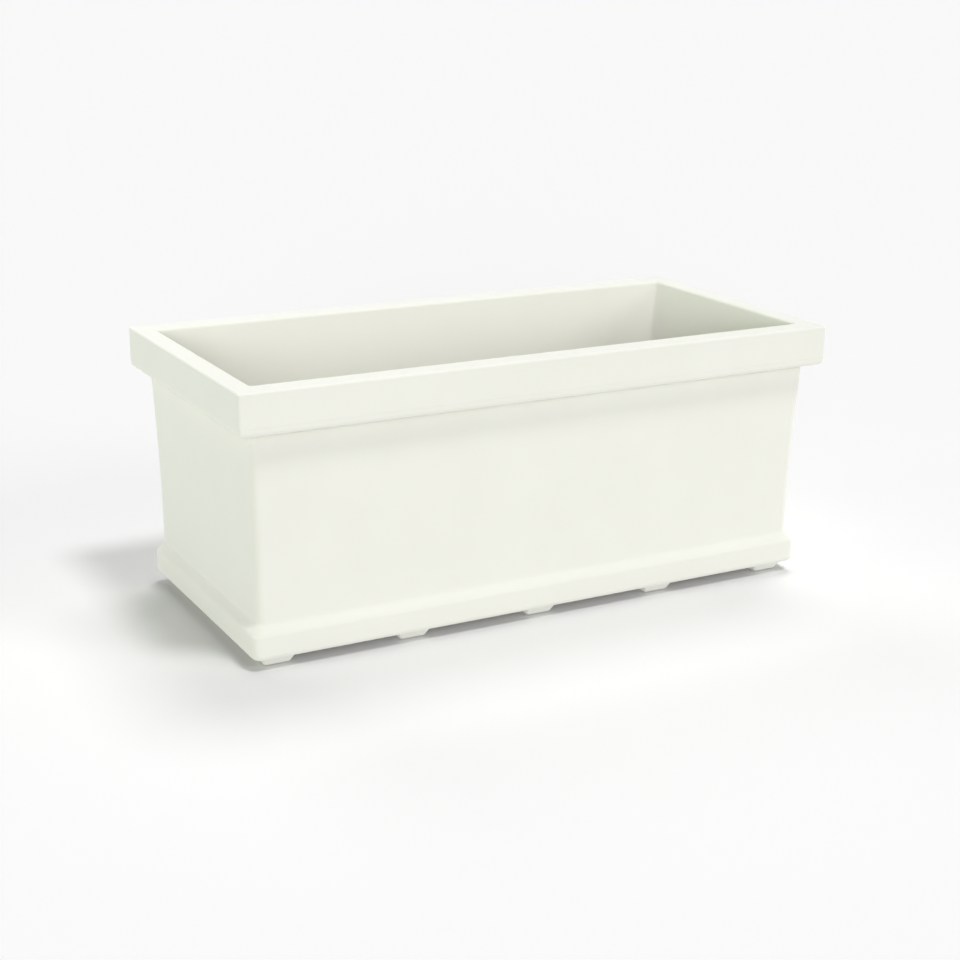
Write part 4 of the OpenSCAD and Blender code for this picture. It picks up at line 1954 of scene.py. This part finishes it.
@dataclass
class Platform:
    """One slotted drainage platform on six hollow legs."""

    side: Side
    floor_z: float
    low: Vector
    high: Vector
    plate_t: float = 4.0
    skirt_h: float = 10.0
    corner_r: float = 10.0
    leg_r: float = 14.0
    leg_t: float = 3.0
    leg_inset: float = 38.0
    slot_l: float = 30.0
    slot_w: float = 5.0
    slot_gap: float = 12.0
    row_step: float = 4.0
    margin: float = 30.0
    leg_clear: float = 5.0
    bevel: float = 0.5
    rib_t: float = 2.4
    rib_h: float = 7.0
    sunk: float = 0.5

    @classmethod
    def from_frame(cls, side: Side) -> "Platform":
        """Reads a platform's place from the frame."""
        low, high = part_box(f"drain_platform_{side.word}")
        return cls(side, low.z / MM, low / MM, high / MM)

    @property
    def length(self) -> float:
        """Size along X."""
        return self.high.x - self.low.x

    @property
    def width(self) -> float:
        """Size along Y."""
        return self.high.y - self.low.y

    @property
    def centre(self) -> tuple[float, float, float]:
        """Middle of the platform on the ground."""
        return ((self.low.x + self.high.x) / 2, (self.low.y + self.high.y) / 2, 0.0)

    @property
    def under(self) -> float:
        """Height of the plate's underside."""
        return self.high.z - self.plate_t

    @property
    def reach(self) -> tuple[float, float]:
        """How far the outer legs stand from the middle, along X and along Y."""
        return self.length / 2 - self.leg_inset, self.width / 2 - self.leg_inset

    @property
    def pitch(self) -> tuple[float, float]:
        """Spacing of the slots along X and along Y."""
        return self.slot_l + self.slot_gap, self.row_step * self.slot_w

    @property
    def rows(self) -> int:
        """Rows of slots that fit between the two lines of legs."""
        clear = 2 * (self.reach[1] - self.leg_r - self.leg_clear)
        return int(clear // self.pitch[1])

    def build(self, shop: Workshop, finishes: Finishes) -> None:
        """Makes the platform and stands it in the frame.

        Args:
            shop: the workshop.
            finishes: the planter's finishes.
        """
        material = finishes.platform
        meshes = [self._plate(shop, material), self._skirt(shop, material)]
        meshes += self._legs(shop, material)
        meshes += self._ribs(material)
        shop.piece(
            f"platform_moulding_{self.side.word}",
            meshes,
            Body.PLATFORM.at(self.side),
            "platform_resin",
            [f"drain_platform_{self.side.word}"],
        )

    def _plate(self, shop: Workshop, material: bpy.types.Material) -> bpy.types.Mesh:
        """The slotted plate, with softened edges.

        Args:
            shop: the workshop.
            material: its finish.

        Returns:
            Its mesh.
        """
        (reach_x, reach_y), (pitch_x, pitch_y) = self.reach, self.pitch
        sizes = {
            "Length": self.length,
            "Width": self.width,
            "Corner Radius": self.corner_r,
            "Bottom": self.under,
            "Thickness": self.plate_t,
            "Slot Length": self.slot_l,
            "Slot Width": self.slot_w,
            "Pitch X": pitch_x,
            "Pitch Y": pitch_y,
            "Hole Radius": self.leg_r - self.leg_t,
            "Hole Reach X": reach_x,
            "Hole Reach Y": reach_y,
        }
        values: dict[str, Any] = {label: size * MM for label, size in sizes.items()}
        values["Columns"] = int((self.length - self.margin) // pitch_x)
        values["Rows"] = self.rows
        values["Centre"] = tuple(v * MM for v in self.centre)
        empty = bpy.data.meshes.new("nothing")
        return softened(face_outwards(shop.plates.run(empty, values, material)), self.bevel)

    def _skirt(self, shop: Workshop, material: bpy.types.Material) -> bpy.types.Mesh:
        """The stiffening rim under the plate's edge.

        Args:
            shop: the workshop.
            material: its finish.

        Returns:
            Its mesh.
        """
        r, low, high = self.corner_r, self.under - self.skirt_h, self.under + self.sunk
        corners = [
            even(self.leg_t, r - self.leg_t, low, 0.5),
            even(0.0, r, low, 0.5),
            even(0.05, r, high),
            even(self.leg_t, r - self.leg_t, high),
        ]
        return shop.shell(Section(corners, closed=True), self.length, self.width, material, self.centre)

    def _legs(self, shop: Workshop, material: bpy.types.Material) -> list[bpy.types.Mesh]:
        """The six hollow legs, each with four windows near its foot.

        Args:
            shop: the workshop.
            material: their finish.

        Returns:
            The legs as one mesh, in a list.
        """
        r, bore = self.leg_r, self.leg_r - self.leg_t
        corners = [
            turned(r, 0.0, self.floor_z),
            turned(r, r, self.floor_z, 0.8),
            turned(r, r, self.high.z - 0.3),
            turned(r, bore, self.high.z - 0.3, 0.3),
            turned(r, bore, self.floor_z + self.leg_t, 1.0),
            turned(r, 0.0, self.floor_z + self.leg_t),
        ]
        leg = shop.turned(Section(corners, closed=False), r, material, (0, 0, 0))
        (cx, cy, _), (reach_x, reach_y) = self.centre, self.reach
        spots = [(cx + i * reach_x, cy + j * reach_y) for i in (-1, 0, 1) for j in (-1, 1)]
        return [shop.repeat(carved(leg, self._windows(material)), spots, material)]

    def _windows(self, material: bpy.types.Material) -> list[bpy.types.Mesh]:
        """The two bars that open a leg on four sides, above its foot.

        Args:
            material: their finish.

        Returns:
            The bars' meshes.
        """
        reservoir = self.under - self.floor_z
        low = self.floor_z + self.leg_t + reservoir / 6
        high = low + reservoir / 3
        reach, half = self.leg_r + PAST, self.slot_w / 2
        sizes = ((reach, half), (half, reach))
        return [block((-x, -y, low), (x, y, high), material) for x, y in sizes]

    def _ribs(self, material: bpy.types.Material) -> list[bpy.types.Mesh]:
        """Ribs under the plate, between the rows of slots and across between the legs.

        Args:
            material: their finish.

        Returns:
            One mesh for each rib.
        """
        low, high, half_t = self.under - self.rib_h, self.under + self.sunk, self.rib_t / 2
        half_l, half_w = self.length / 2 - self.leg_t, self.width / 2 - self.leg_t
        ribs = []
        for k in range(self.rows + 1):
            y = (k - self.rows / 2) * self.pitch[1]
            ribs.append(self._rib((-half_l, y - half_t, low), (half_l, y + half_t, high), material))
        reach_x, reach_y = self.reach
        near, far = reach_y - self.leg_r + self.leg_t / 2, reach_y + self.leg_r - self.leg_t / 2
        for k in (-1, 0, 1):
            west, east = k * reach_x - half_t, k * reach_x + half_t
            for south, north in ((-half_w, -far), (-near, near), (far, half_w)):
                ribs.append(self._rib((west, south, low), (east, north, high), material))
        return ribs

    def _rib(
        self, low: Sequence[float], high: Sequence[float], material: bpy.types.Material
    ) -> bpy.types.Mesh:
        """One rib, given about the platform's middle."""
        cx, cy, _ = self.centre
        return block((low[0] + cx, low[1] + cy, low[2]), (high[0] + cx, high[1] + cy, high[2]), material)


@dataclass
class BasePan:
    """The ribbed pan inside the plinth that carries the tub's floor."""

    low: Vector
    high: Vector
    rib_half_x: float
    rib_half_y: float
    plate_t: float = 5.0
    rib_t: float = 4.0
    corner_r: float = 11.0
    rib_draft: float = 0.4
    long_rib_y: float = 95.0
    boss_r: float = 7.0
    boss_h: float = 12.0
    sunk: float = 0.5
    pin_r: float = 5.0
    pin_inner_r: float = 4.2
    pin_proud: float = 0.25
    pin_sunk: float = 0.2
    pin_xs: tuple[float, ...] = (-48, 48)
    pin_ys: tuple[float, ...] = (-120, -60, 60, 120)

    @property
    def plate_top(self) -> float:
        """Height of the plate's top."""
        return self.low.z + self.plate_t

    @property
    def rib_foot(self) -> float:
        """Height where ribs and bosses start, a little inside the plate."""
        return self.plate_top - self.sunk

    @classmethod
    def under(cls, tub: Tub) -> "BasePan":
        """Reads the pan's place from the frame.

        Args:
            tub: the tub; the pan's ribs stay under the flat of its floor.

        Returns:
            The pan.
        """
        low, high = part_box("base_pan")
        foot = tub.inner(tub.floor_z, 0.0, 0.0)
        half_x = tub.rim.length / 2 - foot.inset_x - tub.floor_r
        half_y = tub.rim.depth / 2 - foot.inset_y - tub.floor_r
        return cls(low / MM, high / MM, half_x, half_y)

    def build(self, shop: Workshop, finishes: Finishes, drains: Drains, screws: Screws) -> None:
        """Makes the pan and stands it in the frame.

        Args:
            shop: the workshop.
            finishes: the planter's finishes.
            drains: the fittings that pass the pan.
            screws: the screws that bite into its bosses.
        """
        material = finishes.pan
        length, depth = self.high.x - self.low.x, self.high.y - self.low.y
        pole = Corner(length / 2, depth / 2, 0.0, self.low.z)
        corners = [
            pole,
            even(0.0, self.corner_r, self.low.z, 0.8),
            even(0.0, self.corner_r, self.plate_top, 0.8),
            replace(pole, z=self.plate_top),
        ]
        plate = shop.shell(Section(corners, closed=False), length, depth, material)
        bore = (drains.hole_r, self.low.z - PAST, self.high.z + PAST)
        meshes = [shop.drill(plate, drains.spots(), material, bore)]
        meshes += self._ribs(screws, material)
        meshes.append(self._drain_bosses(shop, drains, material))
        meshes.append(self._screw_bosses(shop, screws, material))
        meshes.append(self._pin_marks(shop, screws, material))
        shop.piece("pan_moulding", meshes, Body.PLANTER.value, "pan_resin", ["base_pan"])

    def _ribs(self, screws: Screws, material: bpy.types.Material) -> list[bpy.types.Mesh]:
        """The ribs on top of the plate.

        Args:
            screws: the screws, for the places of the skids that the cross ribs stand over.
            material: the ribs' finish.

        Returns:
            One mesh for each rib, the long ones first.
        """
        low, high, half_t = self.rib_foot, self.high.z, self.rib_t / 2
        half_x, half_y = self.rib_half_x, self.rib_half_y
        end = half_x - half_t
        ys = (-self.long_rib_y, 0.0, self.long_rib_y)
        xs = (-end, *screws.skid_xs[1:-1], end)
        spans = [((-half_x, y - half_t), (half_x, y + half_t)) for y in ys]
        spans += [((x - half_t, -half_y), (x + half_t, half_y)) for x in xs]
        return [block((*a, low), (*b, high), material, self.rib_draft) for a, b in spans]

    def _drain_bosses(
        self, shop: Workshop, drains: Drains, material: bpy.types.Material
    ) -> bpy.types.Mesh:
        """The hollow bosses that the drain fittings pass.

        Args:
            shop: the workshop.
            drains: the fittings.
            material: the bosses' finish.

        Returns:
            The bosses as one mesh.
        """
        r, low, high = drains.flange_r, self.rib_foot, self.high.z
        corners = [
            turned(r, drains.hole_r, low),
            turned(r, r, low),
            turned(r, r, high, 0.6),
            turned(r, drains.hole_r, high, 0.6),
        ]
        unit = shop.turned(Section(corners, closed=True), r, material, (0, 0, 0))
        return shop.repeat(unit, drains.spots(), material)

    def _screw_bosses(
        self, shop: Workshop, screws: Screws, material: bpy.types.Material
    ) -> bpy.types.Mesh:
        """The bosses that the screws bite into.

        Args:
            shop: the workshop.
            screws: the screws.
            material: the bosses' finish.

        Returns:
            The bosses as one mesh.
        """
        r, low, high = self.boss_r, self.rib_foot, self.plate_top + self.boss_h
        corners = [
            turned(r, 0.0, low),
            turned(r, r, low),
            turned(r, r - 0.4, high, 0.8),
            turned(r, 0.0, high),
        ]
        unit = shop.turned(Section(corners, closed=False), r, material, (0, 0, 0))
        return shop.repeat(unit, [*screws.pan_spots(), *screws.skid_spots()], material)

    def _pin_marks(
        self, shop: Workshop, screws: Screws, material: bpy.types.Material
    ) -> bpy.types.Mesh:
        """Faint witness rings of the mould's pins on the underside, between the skids.

        Args:
            shop: the workshop.
            screws: the screws, for the bays between the skids.
            material: the rings' finish.

        Returns:
            The rings as one mesh.
        """
        outer, inner = self.pin_r, self.pin_inner_r
        low, high = self.low.z - self.pin_proud, self.low.z + self.pin_sunk
        corners = [
            turned(outer, inner, high),
            turned(outer, inner, low, 0.1),
            turned(outer, outer, low, 0.1),
            turned(outer, outer, high),
        ]
        unit = shop.turned(Section(corners, closed=True), outer, material, (0, 0, 0))
        spots = [(x + dx, y) for x in screws.bays for dx in self.pin_xs for y in self.pin_ys]
        return shop.repeat(unit, spots, material)


# ---- Studio ----


@dataclass(frozen=True)
class Lamp:
    """A soft light from far away; strength is what it adds to a white face turned to it."""

    name: str
    azimuth: float
    elevation: float
    angle: float
    strength: float
    colour: tuple[float, float, float] = (1.0, 1.0, 1.0)

    DISTANCE = 3.0

    def hang(self) -> None:
        """Hangs the lamp."""
        data = bpy.data.lights.new(self.name, "SUN")
        data.energy = self.strength * math.pi
        data.angle = math.radians(self.angle)
        data.color = self.colour
        lamp = new_object(self.name, data)
        back = direction(self.azimuth, self.elevation)
        lamp.rotation_mode = "QUATERNION"
        lamp.rotation_quaternion = (-back).to_track_quat("-Z", "Y")
        lamp.location = back * self.DISTANCE


@dataclass(frozen=True)
class Studio:
    """Camera, floor and light, at the photograph's viewing angle."""

    azimuth: float = -28.638
    elevation: float = 17.192
    roll: float = 0.626
    distance: float = 2.614
    target: tuple[float, float, float] = (0.0008, 0.0, 0.1499)
    lens: float = 65.83
    sensor: float = 36.0
    sight: float = 200.0
    floor_size: float = 60.0
    floor_colour: tuple[float, float, float] = (1.0, 1.0, 1.0)
    floor_bounce: tuple[float, float, float] = (0.60, 0.60, 0.60)
    backdrop: tuple[float, float, float] = (0.956, 0.956, 0.956)
    sky: tuple[float, float, float] = (1.0, 1.0, 1.0)
    sky_strength: float = 0.15
    lamps: tuple[Lamp, ...] = (
        Lamp("key", 22.0, 66.0, 12.0, 0.32),
        Lamp("left_fill", -29.0, 13.0, 24.0, 0.43, (1.0, 0.99, 1.0)),
        Lamp("right_fill", 40.0, 22.0, 24.0, 0.19),
        Lamp("side_fill", -95.0, 4.0, 12.0, 0.15, (0.78, 1.0, 0.60)),
        Lamp("back_top", 135.0, 65.0, 24.0, 0.28),
        Lamp("back_fill", 180.0, 40.0, 24.0, 0.11),
    )

    def set_camera(self) -> None:
        """Places the camera."""
        data = bpy.data.cameras.new("camera")
        data.lens = self.lens
        data.sensor_width = self.sensor
        data.clip_end = self.sight
        camera = new_object("camera", data)
        back = direction(self.azimuth, self.elevation)
        turn = (-back).to_track_quat("-Z", "Y").to_matrix().to_4x4()
        spin = Matrix.Rotation(math.radians(self.roll), 4, "Z")
        place = Matrix.Translation(Vector(self.target) + back * self.distance)
        camera.matrix_world = place @ turn @ spin
        bpy.context.scene.camera = camera

    def set_floor(self) -> None:
        """Lays the pale floor."""
        mesh = bpy.data.meshes.new("floor")
        half = self.floor_size / 2
        corners = [(-half, -half, 0), (half, -half, 0), (half, half, 0), (-half, half, 0)]
        mesh.from_pydata(corners, [], [(0, 1, 2, 3)])
        floor = new_object("floor", mesh)
        material, bench = new_material("floor_paper")
        paper = [
            bench.add("ShaderNodeBsdfDiffuse", None, {"Color": rgba(colour), "Roughness": 0.0})
            for colour in (self.floor_bounce, self.floor_colour)
        ]
        mixed = bench.add("ShaderNodeMixShader", None, {0: seen_share(bench), 1: paper[0], 2: paper[1]})
        bench.add("ShaderNodeOutputMaterial", None, {"Surface": mixed})
        mesh.materials.append(material)

    def set_world(self) -> None:
        """Lights the scene evenly, with a white backdrop behind it for the camera."""
        world = bpy.data.worlds.new("studio")
        world.use_nodes = True
        bpy.context.scene.world = world
        bench = NodeBench(world.node_tree)
        light = bench.add(
            "ShaderNodeBackground", None, {"Color": rgba(self.sky), "Strength": self.sky_strength}
        )
        backdrop = bench.add(
            "ShaderNodeBackground", None, {"Color": rgba(self.backdrop), "Strength": 1.0}
        )
        mixed = bench.add("ShaderNodeMixShader", None, {0: seen_share(bench), 1: light, 2: backdrop})
        bench.add("ShaderNodeOutputWorld", None, {"Surface": mixed})

    def build(self) -> None:
        """Sets the whole studio up."""
        self.set_camera()
        self.set_floor()
        self.set_world()
        for lamp in self.lamps:
            lamp.hang()
        bpy.context.scene.view_settings.view_transform = "Standard"


def seen_share(bench: NodeBench) -> Value:
    """1 for rays that show a surface to the camera, straight or in a mirror, and 0 for its light."""
    path = bench.add("ShaderNodeLightPath", output="Is Camera Ray")
    return (path + path.of("Is Glossy Ray") + path.of("Is Transmission Ray")).clamped()


def direction(azimuth: float, elevation: float) -> Vector:
    """Unit vector from the object towards an azimuth and elevation in degrees."""
    a, e = math.radians(azimuth), math.radians(elevation)
    return Vector((math.sin(a) * math.cos(e), -math.cos(a) * math.cos(e), math.sin(e)))


def main() -> None:
    """Builds the planter's pieces in order, then the studio."""
    logging.basicConfig(level=logging.INFO, format="%(name)s: %(message)s")
    finishes = Finishes.mixed()
    shop = Workshop()
    rim = Rim.from_frame()
    skid_boxes = [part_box(f"foot_skid_{k}") for k in range(1, 6)]
    skid_xs = [(low.x + high.x) / 2 / MM for low, high in skid_boxes]
    ground_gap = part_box("outer_casing")[0].z / MM
    line_y = rim.depth / 2 - Screws.LINE_INSET
    screws = Screws(skid_xs, line_y, tip_z=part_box("pan_screws")[1].z / MM)
    tub = Tub(rim, base_z=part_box("inner_tub")[0].z / MM)
    drain_low, drain_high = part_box("drain_spigot_right")
    drains = Drains((drain_low.x + drain_high.x) / 2 / MM, tub.floor_z, pan_z=ground_gap + rim.wall)
    Casing(rim, ground_gap).build(shop, finishes, screws)
    tub.build(shop, finishes, drains)
    Skids(rim, screws, height=ground_gap).build(shop, finishes)
    BasePan.under(tub).build(shop, finishes, drains, screws)
    screws.build(shop, finishes, ground_gap)
    drains.build(shop, finishes)
    for side in Side:
        Platform.from_frame(side).build(shop, finishes)
    Studio().build()


if __name__ == "__main__":
    main()
